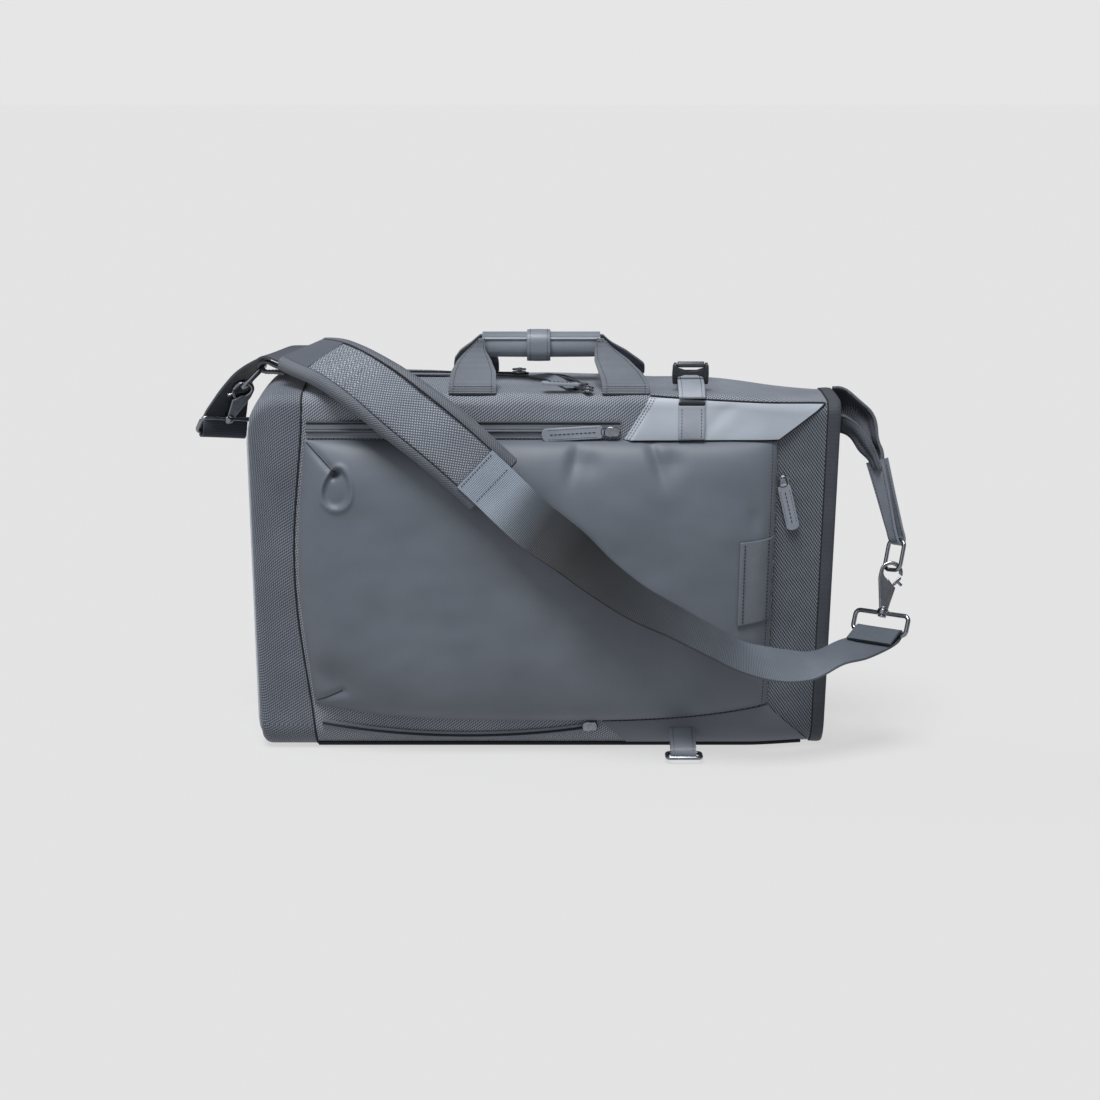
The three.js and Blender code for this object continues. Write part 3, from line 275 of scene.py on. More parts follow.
# %% Webbing
def paint_light_along_strap(material, length, stops):
    """Multiplies a webbing's colour by painted light and shade: greys that stand at shares
    of a strap's length in metres.
    """
    shader = material.node_tree.nodes["Principled BSDF"]
    place = node(material, "ShaderNodeTexCoord")
    parts = node(material, "ShaderNodeSeparateXYZ")
    link(material, place.outputs["UV"], parts.inputs["Vector"])
    share = math_node(material, "DIVIDE", parts.outputs["Y"], length)
    painted_light = colour_ramp(material, share, [(at, (grey * 0.92, grey * 0.965, grey)) for at, grey in stops])
    woven = shader.inputs["Base Color"].links[0].from_socket
    link(material, multiplied(material, woven, painted_light), shader.inputs["Base Color"])


def webbing(name, dark, light, pitch=1.5):
    """Flat ribs lie across the strap. The UV map runs along the strap in its second direction."""
    material = start_material(name, light, 0.6, sheen=0.06)
    rib = thread_wave(material, pitch, 90)
    warp = thread_wave(material, pitch * 0.55, 0)
    height = math_node(material, "ADD", math_node(material, "MULTIPLY", rib, 0.7),
                       math_node(material, "MULTIPLY", warp, 0.3))
    return shade_by(material, height, dark, light, 0.55, 0.0004, cloudy(material, 30))


strap_webbing = webbing("strap webbing", (0.080, 0.092, 0.115), (0.370, 0.410, 0.470), 1.3)
# painted light and shade along the strap: pale by the pad, mid grey towards the ring and dark between
STRAP_SEEN = 0.40  # metres of webbing in front of the bag
STRAP_PAINTED_LIGHT = ((0.0, 0.3), (0.15, 0.34), (0.24, 0.46), (0.32, 0.42), (0.40, 0.26), (0.57, 0.085),
               (0.757, 0.03), (0.83, 0.09), (0.88, 0.4), (0.925, 1.0))
paint_light_along_strap(strap_webbing, STRAP_SEEN, STRAP_PAINTED_LIGHT)
# painted shade: the rear strap is the same webbing as the front strap, given darker colours for the shade it
# lies in
shaded_rear_webbing = webbing("rear strap webbing in painted shade", (0.026, 0.030, 0.038), (0.070, 0.079, 0.096))
handle_webbing = webbing("handle webbing", (0.035, 0.040, 0.050), (0.160, 0.178, 0.208), 1.3)
rim_webbing = webbing("rim tape", (0.016, 0.019, 0.025), (0.060, 0.067, 0.082), 1.0)


# %% Spacer mesh
def spacer_mesh(name, dark, light, pitch=1.7):
    """A knit face with a dot at each crossing of two sets of threads."""
    material = start_material(name, light, 0.8, sheen=0.2)
    rows = thread_wave(material, pitch, 32)
    columns = thread_wave(material, pitch, -58)
    dots = math_node(material, "MULTIPLY", rows, columns)
    return shade_by(material, dots, dark, light, 0.8, 0.0006, cloudy(material, 45), (0.05, 0.7))


pad_mesh = spacer_mesh("pad mesh", (0.070, 0.079, 0.097), (0.300, 0.330, 0.378), 1.9)
back_mesh = spacer_mesh("back mesh", (0.050, 0.057, 0.070), (0.150, 0.166, 0.195), 2.4)


# %% Leather
def leather(name, dark, light, roughness=0.5):
    """A fine pebbled grain over a soft unevenness."""
    material = start_material(name, light, roughness)
    grain = cloudy(material, 0.9, 4.0)
    return shade_by(material, grain, dark, light, 0.25, 0.0003, cloudy(material, 22))


strap_leather = leather("strap leather", (0.180, 0.200, 0.232), (0.235, 0.258, 0.295))
tab_leather = leather("tab leather", (0.125, 0.140, 0.168), (0.185, 0.203, 0.235), 0.4)
puller_leather = leather("puller leather", (0.165, 0.183, 0.215), (0.225, 0.247, 0.285))
patch_leather = leather("patch leather", (0.086, 0.097, 0.116), (0.120, 0.135, 0.159))


# %% Zip tape, thread and metal
zip_tape = webbing("zip tape", (0.055, 0.062, 0.076), (0.200, 0.222, 0.258), 1.1)
dark_seam = start_material("seam shadow", (0.012, 0.014, 0.018), 0.9)
shade_by(dark_seam, cloudy(dark_seam, 2), (0.008, 0.009, 0.012), (0.018, 0.020, 0.025), 0.2)
thread = start_material("thread", (0.04, 0.046, 0.056), 0.7)
shade_by(thread, cloudy(thread, 1), (0.010, 0.012, 0.017), (0.030, 0.034, 0.042), 0.3)


def metal(name, dark, light, roughness):
    material = start_material(name, light, roughness, metallic=1.0)
    return shade_by(material, cloudy(material, 5), dark, light, 0.08, 0.0002, cloudy(material, 1.5))


gunmetal = metal("gunmetal", (0.15, 0.16, 0.18), (0.33, 0.345, 0.375), 0.24)
dark_metal = metal("dark metal", (0.045, 0.049, 0.058), (0.11, 0.118, 0.132), 0.55)
print("finishes:", len(bpy.data.materials))

# %% [markdown]
# ## Shapes that the body is measured by
# The bag is nearly a box, but a sewn one. It is shorter at its foot, its faces swell, its back recedes
# towards the mouth and its back edge stands a little higher. One function carries all of that, so that a
# panel, a zip or a row of stitches finds the same surface.

# %% Sizes of the body, in millimetres
BODY_LEFT, BODY_RIGHT, BODY_HEIGHT = 230, 228, 277
FRONT_DEPTH, BACK_DEPTH = 58, 64
CROWN, REAR_LIFT, SHELL_WALL = 4, 6, 3
SEAM_LEFT, SEAM_BOW = 181, 11
CAP_TOP_RADIUS, CAP_FOOT_RADIUS, CAP_EDGE_RADIUS = 28, 10, 6
FOOT_RADIUS, TOP_RADIUS, BACK_RADIUS = 20, 9, 18
MOUTH_DROP, WEDGE, FRONT_WEDGE = 7, 34, 9
FOOT_TAPER, GAP = 0.035, 0.3
RIM_WIDTH = 10
RIM_START = BODY_RIGHT - RIM_WIDTH
POCKET_LEFT, POCKET_RIGHT = 178, 180
POCKET_TOP, POCKET_FOOT, POCKET_FOOT_RISE, POCKET_DEPTH = 244, 24, 13, 24


def clamp(t):
    return min(1.0, max(0.0, t))


def lerp(a, b, t):
    return a + (b - a) * t


def smooth(t):
    t = clamp(t)
    return t * t * (3 - 2 * t)


def dome(t):
    return max(0.0, 1 - t * t)


def front_at(x):
    return FRONT_DEPTH - FRONT_WEDGE * smooth((x / BODY_RIGHT - 0.72) / 0.28)


def back_at(x):
    return BACK_DEPTH - WEDGE * smooth((x / BODY_RIGHT - 0.1) / 0.9)


def top_at(x):
    return BODY_HEIGHT - MOUTH_DROP * smooth((x / BODY_RIGHT - 0.55) / 0.45)


def seam_at(z):
    return -SEAM_LEFT - SEAM_BOW * dome(2 * z / BODY_HEIGHT - 1) ** 2


DRAWN_AT_FOOT, DRAWN_MORE_ABOVE = 3, 3.5


def drawn_in(place):
    """The base end as the photograph shows it: a few millimetres shorter, most at its top."""
    reach = smooth((-place.x - SEAM_LEFT) / (BODY_LEFT - SEAM_LEFT - 6))
    place.x += (DRAWN_AT_FOOT + DRAWN_MORE_ABOVE * clamp(place.z / BODY_HEIGHT)) * reach
    return place


def arc_inset(distance, radius):
    if distance >= radius:
        return 0.0
    return radius - math.sqrt(max(0.0, radius * radius - (radius - distance) ** 2))


# %% The body's lean and swell
def settle(x, y, z):
    middle, half = (BACK_DEPTH - FRONT_DEPTH) / 2, (BACK_DEPTH + FRONT_DEPTH) / 2
    q = 2 * z / BODY_HEIGHT - 1
    p = (y - middle) / half
    swell = CROWN * dome(q) * dome(x / BODY_LEFT * 0.9)
    left = smooth(0.5 - x / BODY_LEFT / 1.6)
    lift = CROWN * 0.6 * dome(p) + REAR_LIFT * left * clamp((p + 1) / 2)
    return Vector((x * (1 - FOOT_TAPER * (1 - z / BODY_HEIGHT)), y + swell * p, z + max(0.0, q) * lift))


def front_skin(x, z, lift=0.0):
    depth = front_at(x) - arc_inset(z, FOOT_RADIUS) - arc_inset(top_at(x) - z, TOP_RADIUS)
    place = settle(x, -depth, z)
    place.y -= lift
    return place


def top_skin(x, y, lift=0.0):
    edges = arc_inset(back_at(x) - y, BACK_RADIUS) + arc_inset(front_at(x) + y, TOP_RADIUS)
    place = settle(x, y, top_at(x) - edges)
    place.z += lift
    return place


# %% [markdown]
# ## How a cloth piece is made
# A panel starts as a grid primitive. Its points are moved to the panel's form, its UV map is spread out
# to the lengths that the rows and columns really have, and Solidify gives the cloth its thickness.


# %% Cloth sheets from grids
def spread_uv(sheet, across, up):
    """Lays the UV map out in metres, by the middle row's and the middle column's lengths."""
    mesh = sheet.data
    columns, rows = across + 1, up + 1

    def point(i, j):
        return mesh.vertices[j * columns + i].co

    along, high = [0.0], [0.0]
    for i in range(across):
        along.append(along[-1] + (point(i + 1, rows // 2) - point(i, rows // 2)).length)
    for j in range(up):
        high.append(high[-1] + (point(columns // 2, j + 1) - point(columns // 2, j)).length)
    layer = mesh.uv_layers.active.data
    for loop in mesh.loops:
        i, j = loop.vertex_index % columns, loop.vertex_index // columns
        layer[loop.index].uv = (along[i], high[j])


def cloth_grid(name, across, up, place):
    """A grid primitive with its points moved by place(u, v), which answers in millimetres."""
    deselect()
    bpy.ops.mesh.primitive_grid_add(x_subdivisions=across, y_subdivisions=up, size=2)
    sheet = bpy.context.object
    sheet.name = name
    for vertex in sheet.data.vertices:
        vertex.co = place((vertex.co.x + 1) / 2, (vertex.co.y + 1) / 2) * MM
    spread_uv(sheet, across, up)
    return sheet


def apply_modifier(piece, kind, **settings):
    modifier = piece.modifiers.new(kind.title(), kind)
    for key, value in settings.items():
        setattr(modifier, key, value)
    bpy.context.view_layer.objects.active = piece
    bpy.ops.object.modifier_apply(modifier=modifier.name)


def round_edges(piece, width, angle=60):
    apply_modifier(piece, "BEVEL", width=width * MM, segments=2, limit_method="ANGLE",
                   angle_limit=math.radians(angle))


def thicken(sheet, wall, round_rim=0.0):
    """Gives cloth its thickness on the inner side, and rounds its cut edge."""
    apply_modifier(sheet, "SOLIDIFY", thickness=wall * MM, offset=-1, use_even_offset=True)
    if round_rim:
        round_edges(sheet, round_rim, 55)


def round_shading(piece, angle=50):
    select_only(piece)
    bpy.ops.object.shade_smooth_by_angle(angle=math.radians(angle))


def dress(piece, material, stands_for=(), body="root", angle=50):
    """Gives a finished piece its material, hides the imported solids it stands for, and puts it on its body.
    """
    piece.data.materials.clear()
    piece.data.materials.append(material)
    round_shading(piece, angle)
    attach(piece, body)
    if stands_for:
        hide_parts(*stands_for)


# %% Seams and stitches
def mesh_from_curve(name, curve, points, closed):
    """Draws the curve through points in metres, each with its weight, and makes it a mesh."""
    spline = curve.splines.new("POLY")
    spline.points.add(len(points) - 1)
    for target, place in zip(spline.points, points):
        target.co = place
    spline.use_cyclic_u = closed
    select_only(add_object(name, curve))
    bpy.ops.object.convert(target="MESH")
    return bpy.context.object


def tube(name, points, radius, closed=False, resolution=3):
    """A round cord through points in millimetres, made a mesh."""
    curve = bpy.data.curves.new(name, "CURVE")
    curve.dimensions = "3D"
    curve.bevel_depth = radius * MM
    curve.bevel_resolution = resolution
    curve.use_fill_caps = True
    return mesh_from_curve(name, curve, [(*(Vector(place) * MM), 1) for place in points], closed)


def seam(name, points, radius, closed=False):
    """A dark line where two pieces meet, or a painted shadow under an edge."""
    dress(tube(name, points, radius, closed), dark_seam)


def along_path(points, step):
    """Places and directions at an even step along a line of points."""
    found, left = [], step / 2
    for a, b in zip(points, points[1:]):
        a, b = Vector(a), Vector(b)
        length = (b - a).length
        while left <= length and length > 0:
            found.append((a.lerp(b, left / length), (b - a).normalized()))
            left += step
        left -= length
    return found


def stitches(name, rows, step, length, radius):
    """Short raised threads along each row of points, as one mesh."""
    deselect()
    bpy.ops.mesh.primitive_uv_sphere_add(segments=6, ring_count=4, radius=1)
    pattern = bpy.context.object
    shape = [vertex.co.copy() for vertex in pattern.data.vertices]
    faces = [tuple(face.vertices) for face in pattern.data.polygons]
    bpy.data.objects.remove(pattern)
    points, corners = [], []
    for row in rows:
        for place, direction in along_path(row, step):
            turn = direction.to_track_quat("Z", "Y").to_matrix()
            first = len(points)
            for p in shape:
                points.append((place + turn @ Vector((p.x * radius, p.y * radius, p.z * length / 2))) * MM)
            corners.extend(tuple(first + i for i in face) for face in faces)
    mesh = bpy.data.meshes.new(name)
    mesh.from_pydata(points, [], corners)
    return add_object(name, mesh)


def sew(name, rows, step, length, radius):
    """Rows of stitches in the bag's own thread."""
    dress(stitches(name, rows, step, length, radius), thread)


# %% [markdown]
# ## The shell
# The shell is a tube of twill along the bag: a sagging, swelling section at each place along X. It is
# open at both ends, where the base cap and the mouth's rim are sewn on. Small creases by noise keep it
# from looking like a machined box.


# %% Section of the body
def section(x, inset=0.0, from_end=1e9):
    """The body's outline at x, from the front foot round under the bag, the back, the top and the front."""
    edge = arc_inset(from_end - inset, max(1, CAP_EDGE_RADIUS - inset))
    y0, y1 = -front_at(x) + inset + edge, back_at(x) - inset - edge
    z0 = inset + arc_inset(from_end - inset, max(1, CAP_FOOT_RADIUS - inset))
    z1 = top_at(x) - inset - arc_inset(from_end - inset, max(1, CAP_TOP_RADIUS - inset))
    corners = [
        (y0, z0, 1, 1, max(1.5, FOOT_RADIUS - inset), 180, 16),
        (y1, z0, -1, 1, max(1.5, BACK_RADIUS * 0.6 - inset), -90, 40),
        (y1, z1, -1, -1, max(1.5, BACK_RADIUS - inset), 0, 24),
        (y0, z1, 1, -1, max(1.5, TOP_RADIUS - inset), 90, 44),
    ]
    points = []
    for k, (cy, cz, sy, sz, r, start, side) in enumerate(corners):
        for i in range(9):
            angle = math.radians(start + 90 * i / 8)
            points.append((cy + sy * r + r * math.cos(angle), cz + sz * r + r * math.sin(angle)))
        ny, nz, nsy, nsz, nr = corners[(k + 1) % 4][:5]
        last = points[-1]
        goal = (ny + nsy * nr, last[1]) if k in (0, 2) else (last[0], nz + nsz * nr)
        for i in range(1, side):
            points.append((lerp(last[0], goal[0], i / side), lerp(last[1], goal[1], i / side)))
    return points


def crease(place, normal, amount, size=46):
    """Moves a point of loose cloth in or out by smooth noise."""
    wave = noise.noise(Vector((place.x / size, place.y / size * 1.4, place.z / size * 1.7)))
    return place + normal * amount * wave


# %% Lofts through sections
def loft_piece(name, rows, closed_end=None, flip=False):
    """A skin through rows of points that run round the bag. closed_end adds a last point for a fan, and
    flip turns the faces for rows that run towards -X."""
    count = len(rows[0])
    points = [p * MM for row in rows for p in row]
    faces = []
    for i in range(len(rows) - 1):
        for j in range(count):
            k = (j + 1) % count
            faces.append((i * count + j, i * count + k, (i + 1) * count + k, (i + 1) * count + j))
    if closed_end is not None:
        points.append(closed_end * MM)
        first = (len(rows) - 1) * count
        faces += [(first + j, first + (j + 1) % count, len(points) - 1) for j in range(count)]
    mesh = bpy.data.meshes.new(name)
    mesh.from_pydata(points, [], [face[::-1] for face in faces] if flip else faces)
    loft_uv(mesh, rows)
    return add_object(name, mesh)


def loft_uv(mesh, rows):
    """UV in metres: round the section in one direction, and along X in the other."""
    count = len(rows[0])
    middle = rows[len(rows) // 2]
    girth = [0.0]
    for a, b in zip(middle, middle[1:] + middle[:1]):
        girth.append(girth[-1] + (b - a).length * MM)
    layer = mesh.uv_layers.new(name="UVMap").data
    for face in mesh.polygons:
        indices = [mesh.loops[k].vertex_index for k in face.loop_indices]
        wraps = any(i % count == count - 1 for i in indices) and any(i % count == 0 for i in indices)
        for k, i in zip(face.loop_indices, indices):
            place = mesh.vertices[i].co
            lap = count if wraps and i % count == 0 else 0
            layer[k].uv = (place.x, girth[min(i % count + lap, count)])


# %% The main shell
def main_rows():
    rows = []
    start, end, count = -SEAM_LEFT, RIM_START - GAP, 96
    for i in range(count + 1):
        x = lerp(start, end, i / count)
        row = []
        for y, z in section(x):
            bow = (seam_at(z) + SEAM_LEFT) * max(0.0, 1 - (x + SEAM_LEFT) / 60)
            place = settle(x + bow, y, z)
            on_top = smooth((z - BODY_HEIGHT + 16) / 12)
            on_band = smooth((z - 256) / 6) * (1 - on_top)
            on_side = smooth((x - POCKET_RIGHT - 4) / 8) * (1 - on_top)
            place = crease(place, Vector((0, 0, 1)), 2.6 * on_top * dome(x / 250))
            outward = Vector((0, -1 if y < 0 else 1, 0))
            place = crease(place, outward, 1.2 * on_band + 0.8 * on_side, 30)
            row.append(place)
        rows.append(row)
    return rows


main_shell = loft_piece("main_shell", main_rows())
thicken(main_shell, SHELL_WALL)
dress(main_shell, top_twill, ["main_body"])
print("main shell:", len(main_shell.data.polygons), "faces")

# %% [markdown]
# ## The base end
# The bag's base is its left end here. A twill band wraps it and meets the shell in a bowed seam, and a
# stiffer panel of coated cloth, edged with a piping, closes it. The band is lofted as the shell is, and
# its rounded corners come from drawing the section in towards the end.

# %% Base band
def cap_rows():
    rows = []
    shares = [i / 12 for i in range(13)] + [1 + i / 14 for i in range(1, 15)]
    for share in shares:
        shoulder = -BODY_LEFT + CAP_TOP_RADIUS
        row = []
        x = lerp(-SEAM_LEFT, shoulder, share) if share <= 1 else lerp(shoulder, -BODY_LEFT, share - 1)
        for y, z in section(x, 0, x + BODY_LEFT):
            along = lerp(seam_at(z) - GAP / 2, shoulder, share) if share <= 1 else x
            place = drawn_in(settle(along, y, z))
            row.append(crease(place, Vector((0, -1 if y < 0 else 1, 0)), 0.7 * dome(share / 2), 40))
        rows.append(row)
    return rows


base_band = loft_piece("base_band", cap_rows(), flip=True)
thicken(base_band, SHELL_WALL)
dress(base_band, base_twill)

# %% Base end panel and its piping
CAP_CROWN = 1.2


def end_rows():
    outline = section(-BODY_LEFT, 0, 0.0)
    middle_y, middle_z = (BACK_DEPTH - FRONT_DEPTH) / 2, BODY_HEIGHT * 0.47
    rows = []
    for s in (1.0, 0.985, 0.96, 0.9, 0.75, 0.55, 0.35, 0.15):
        x = -BODY_LEFT + 0.6 - CAP_CROWN * (1 - s * s) - 0.8 * smooth((1 - s) / 0.04)
        rows.append([drawn_in(settle(x, lerp(middle_y, y, s), lerp(middle_z, z, s))) for y, z in outline])
    centre = drawn_in(settle(-BODY_LEFT - CAP_CROWN, middle_y, middle_z))
    return rows, centre


rows, centre = end_rows()
base_end = loft_piece("base_end", rows, closed_end=centre, flip=True)
thicken(base_end, 2.0)
dress(base_end, end_cloth)
edge_line = [p + Vector((0.4, 0, 0)) for p in rows[0]]
base_piping = tube("base_piping", edge_line, 1.7, closed=True)
dress(base_piping, piping_cloth, ["base_cap"])
print("base end made")

# %% [markdown]
# ## The mouth end
# The mouth is rolled and closed at the right end. A woven tape binds its rim, turning over it from the
# outside to the inside, and a folded nylon panel shows inside the rim.

# %% Rim binding
RIM_WALL = 4
RIM_PROFILE = [(0.0, 0.0), (0.04, -0.9), (0.3, -1.3), (0.65, -1.35), (0.86, -1.0), (0.97, -0.2), (1.0, 0.9),
               (0.97, 2.3), (0.85, 3.2), (0.5, 3.6), (0.1, 3.6)]


def rim_rows():
    rows = []
    for along, inset in RIM_PROFILE:
        x = lerp(RIM_START, BODY_RIGHT, along)
        row = [settle(x, y, z) for y, z in section(x, inset)]
        floor = 0.2 if inset < 1 else SHELL_WALL + 0.4
        rows.append([Vector((p.x, p.y, max(floor, p.z))) for p in row])
    return rows


rim_binding = loft_piece("rim_binding", rim_rows())
thicken(rim_binding, 0.9)
dress(rim_binding, rim_webbing, ["mouth_binding"])
rim_line = [settle(RIM_START - 0.2, y, max(0.8, z)) for y, z in section(RIM_START, -0.25)]
seam("rim_seam", rim_line, 0.75, closed=True)

# %% Folded mouth panel
MOUTH_CROWN = 6


def mouth_rows():
    outline = section(BODY_RIGHT, RIM_WALL + 0.6)
    middle_y, middle_z = (back_at(BODY_RIGHT) - front_at(BODY_RIGHT)) / 2, BODY_HEIGHT * 0.48
    rows = []
    for s in (1.0, 0.95, 0.88, 0.8, 0.7, 0.6, 0.5, 0.4, 0.3, 0.2, 0.1):
        row = []
        for y, z in outline:
            py, pz = lerp(middle_y, y, s), max(lerp(middle_z, z, s), SHELL_WALL + 0.9)
            pleat = 1.6 * math.cos(py / 7.5) * smooth((1 - s) * 4)
            row.append(settle(RIM_START + 3 + MOUTH_CROWN * (1 - s * s) + pleat, py, pz))
        rows.append(row)
    return rows, settle(RIM_START + 4.6 + MOUTH_CROWN, middle_y, middle_z)


rows, centre = mouth_rows()
mouth_panel = loft_piece("mouth_panel", rows, closed_end=centre)
thicken(mouth_panel, 1.2)
dress(mouth_panel, roll_twill, ["mouth_end"])

# %% [markdown]
# ## The front pocket
# The pocket is one piece of coated cloth, sewn flat at its edges and full in its middle. A dart in each
# left corner and the pull of the zip make the dents that give it away as cloth. They are modelled as
# soft hollows that are subtracted from its swell.

# %% Dents of the pocket
# place along and up as shares, reach along and up, turn in degrees, depth in millimetres
POCKET_DENTS = [
    (0.073, 0.882, 0.007, 0.016, -20, 5.0),
    (0.105, 0.72, 0.05, 0.09, 0, 1.6),
    (0.05, 0.12, 0.05, 0.07, 0, 6.0),
    (0.575, 0.965, 0.014, 0.09, -12, 3.6),
    (0.60, 0.93, 0.030, 0.05, 10, 3.0),
    (0.735, 0.97, 0.012, 0.10, 20, 4.0),
    (0.775, 0.93, 0.030, 0.06, -20, 3.2),
    (0.955, 0.72, 0.018, 0.05, 12, 2.6),
    (0.93, 0.80, 0.035, 0.06, -15, 1.6),
    (0.985, 0.24, 0.014, 0.05, 0, 1.5),
]
# lines of thread pulled tight: start, end, half width, depth
POCKET_CREASES = [
    ((0.004, 0.99), (0.076, 0.885), 0.0075, 2.6),
    ((0.004, 0.02), (0.07, 0.085), 0.008, 2.2),
]


def hollow(u, v):
    total = 0.0
    for along, up, wide, tall, turn, depth in POCKET_DENTS:
        a, b = (u - along), (v - up) * 0.61
        c, s = math.cos(math.radians(turn)), math.sin(math.radians(turn))
        total += depth * math.exp(-((a * c + b * s) / wide) ** 2 - ((b * c - a * s) / (tall * 0.61)) ** 2)
    for (u0, v0), (u1, v1), wide, depth in POCKET_CREASES:
        du, dv = u1 - u0, (v1 - v0) * 0.61
        t = clamp(((u - u0) * du + (v - v0) * 0.61 * dv) / (du * du + dv * dv))
        away = math.hypot(u - u0 - du * t, (v - v0) * 0.61 - dv * t)
        total += depth * math.exp(-(away / wide) ** 2)
    ring = math.hypot((u - 0.080) / (0.0285 - 0.006 * (v - 0.838) / 0.07), (v - 0.838) / 0.070)
    scoop = 2.6 * smooth((1.1 - ring) / 0.35)
    return total + scoop - 1.5 * math.exp(-((ring - 1.12) / 0.12) ** 2)


def pocket_point(u, v, lift=0.0):
    full = math.sqrt(max(0.0, 1 - abs(2 * u - 1) ** 7)) * math.sqrt(max(0.0, 1 - abs(2 * v - 1) ** 4.5))
    foot = POCKET_FOOT + POCKET_FOOT_RISE * abs(2 * u - 1) ** 3
    z = lerp(foot, POCKET_TOP, v)
    left = seam_at(z) + SEAM_LEFT - POCKET_LEFT
    x = lerp(left, POCKET_RIGHT, u)
    place = front_skin(x, z, GAP)
    sway = 1.3 * noise.noise(Vector((x / 55, z / 42, 3.1))) + 0.5 * noise.noise(Vector((x / 21, z / 17, 8.2)))
    swell = max(0.0, POCKET_DEPTH * full - hollow(u, v) * min(1.0, full * 1.4) + sway * full)
    place.y -= swell + lift
    return place


def ease_ends(t):
    return lerp(t, (1 - math.cos(math.pi * t)) / 2, 0.7)


front_pocket = cloth_grid("front_pocket_cloth", 230, 144,
                          lambda u, v: pocket_point(ease_ends(u), ease_ends(v)))
thicken(front_pocket, 1.6)
dress(front_pocket, pocket_cloth, ["front_pocket"], angle=70)
print("pocket:", len(front_pocket.data.polygons), "faces")

# %% Seams round the pocket and along the base band, and a painted shadow at the front foot
def pocket_line(points, lift):
    return [pocket_point(u, v, lift) for u, v in points]


def steps(count):
    return [i / count for i in range(count + 1)]


seam_ring = [settle(seam_at(z), y, z) for y, z in section(-SEAM_LEFT, -0.1)]
seam("base_seam", [Vector((p.x, p.y, max(0.9, p.z))) for p in seam_ring], 0.8, closed=True)
dart = [(lerp(0.006, 0.072, t), lerp(0.99, 0.89, t)) for t in steps(10)]
seam("dart_seam", pocket_line(dart, 0.0), 0.42)
low_dart = [(lerp(0.006, 0.068, t), lerp(0.02, 0.085, t)) for t in steps(8)]
seam("low_dart_seam", pocket_line(low_dart, 0), 0.4)
# painted contact shadow: a dark cord along the bag's front foot, where it meets the ground
FOOT_SHADOW_LEFT, FOOT_SHADOW_RIGHT, FOOT_SHADOW_INSET, FOOT_SHADOW_HEIGHT = -180, 210, 7.5, 2.6
foot_shadow_places = [lerp(FOOT_SHADOW_LEFT, FOOT_SHADOW_RIGHT, t) for t in steps(60)]
seam("foot_contact_shadow", [settle(x, -front_at(x) + FOOT_SHADOW_INSET, FOOT_SHADOW_HEIGHT) for x in foot_shadow_places], 1.5)
edge_row = pocket_line([(0.988, lerp(0.01, 0.99, t)) for t in steps(60)], 0.2)
sew("pocket_stitches", [edge_row], 2.6, 1.8, 0.36)

# %% [markdown]
# ## Facings
# The two facings are wedges of coated cloth, laid over the shell above and below
# the pocket's mouth side. The upper one leans back, so it takes the light from above; its cloth is also
# painted paler than the pocket's, as painted light, and it is the palest part of the bag.

# %% Upper facing
FACING_WALL = 1.2
UPPER_LEFT = 0.35 * POCKET_RIGHT


def upper_facing_point(u, v, lift=0.0):
    low = (lerp(UPPER_LEFT, POCKET_RIGHT, u), POCKET_TOP + 0.5)
    high = (lerp(UPPER_LEFT + 19, RIM_START - 3, u), lerp(BODY_HEIGHT, top_at(RIM_START), u) - 1.5)
    x, z = lerp(low[0], high[0], v), lerp(low[1], high[1], v)
    belly = 5.2 * (1 - smooth(v * 1.05)) * smooth(u / 0.05) * (1 - 0.35 * u)
    dent = 1.0 * math.exp(-((u - 0.47) / 0.06) ** 2)
    dent += 0.6 * math.exp(-((u - 0.66) / 0.1) ** 2 - ((v - 0.2) / 0.4) ** 2)
    dent += 0.5 * noise.noise(Vector((x / 30, z / 24, 5)))
    return front_skin(x, z, 0.9 + FACING_WALL + belly - dent * smooth(u * 12) * smooth((1 - v) * 5) + lift)


upper_facing = cloth_grid("upper_facing_cloth", 100, 26, upper_facing_point)
thicken(upper_facing, FACING_WALL)
dress(upper_facing, painted_lit_facing_cloth, ["upper_facing"], angle=70)

# %% Lower facing
def lower_facing_point(u, v):
    left = 0.27 * POCKET_RIGHT
    foot = POCKET_FOOT + POCKET_FOOT_RISE * abs(2 * lerp(0.63, 1, u) - 1) ** 3 - 1
    low, high = (lerp(left + 20, RIM_START - 3, u), 4.5), (lerp(left, POCKET_RIGHT, u), foot)
    x, z = lerp(low[0], high[0], v), lerp(low[1], high[1], v)
    return front_skin(x, z, 1.1 + FACING_WALL + 1.2 * math.sin(math.pi * v) * dome(2 * u - 1))


lower_facing = cloth_grid("lower_facing_cloth", 70, 16, lower_facing_point)
thicken(lower_facing, FACING_WALL)
dress(lower_facing, pocket_cloth, ["lower_facing"], angle=70)

# %% Seams and stitches of the facings
seam("facing_top_seam", [upper_facing_point(t, 1.02, -0.6) for t in steps(50)], 0.75)
seam("facing_side_seam", [upper_facing_point(1.005, t, -0.8) for t in steps(20)], 0.8)
seam("facing_foot_seam", [upper_facing_point(t, -0.03, -2.4) for t in steps(50)], 0.9)
facing_rows = [[upper_facing_point(u, t, 0.15) for t in steps(16)] for u in (0.014, 0.032)]
sew("facing_stitches", facing_rows, 2.4, 1.7, 0.34)

# %% [markdown]
# ## Side panel, patch and back panel
# The shell's narrow front strip at the mouth end is a coarser twill, cut on the other slant. The leather
# patch is sewn to the pocket along its two long sides and is left bare. The back panel is foam under knit
# mesh: a flat slab that the cloth solver blows up a little, so that it takes the soft edge of a real pad.

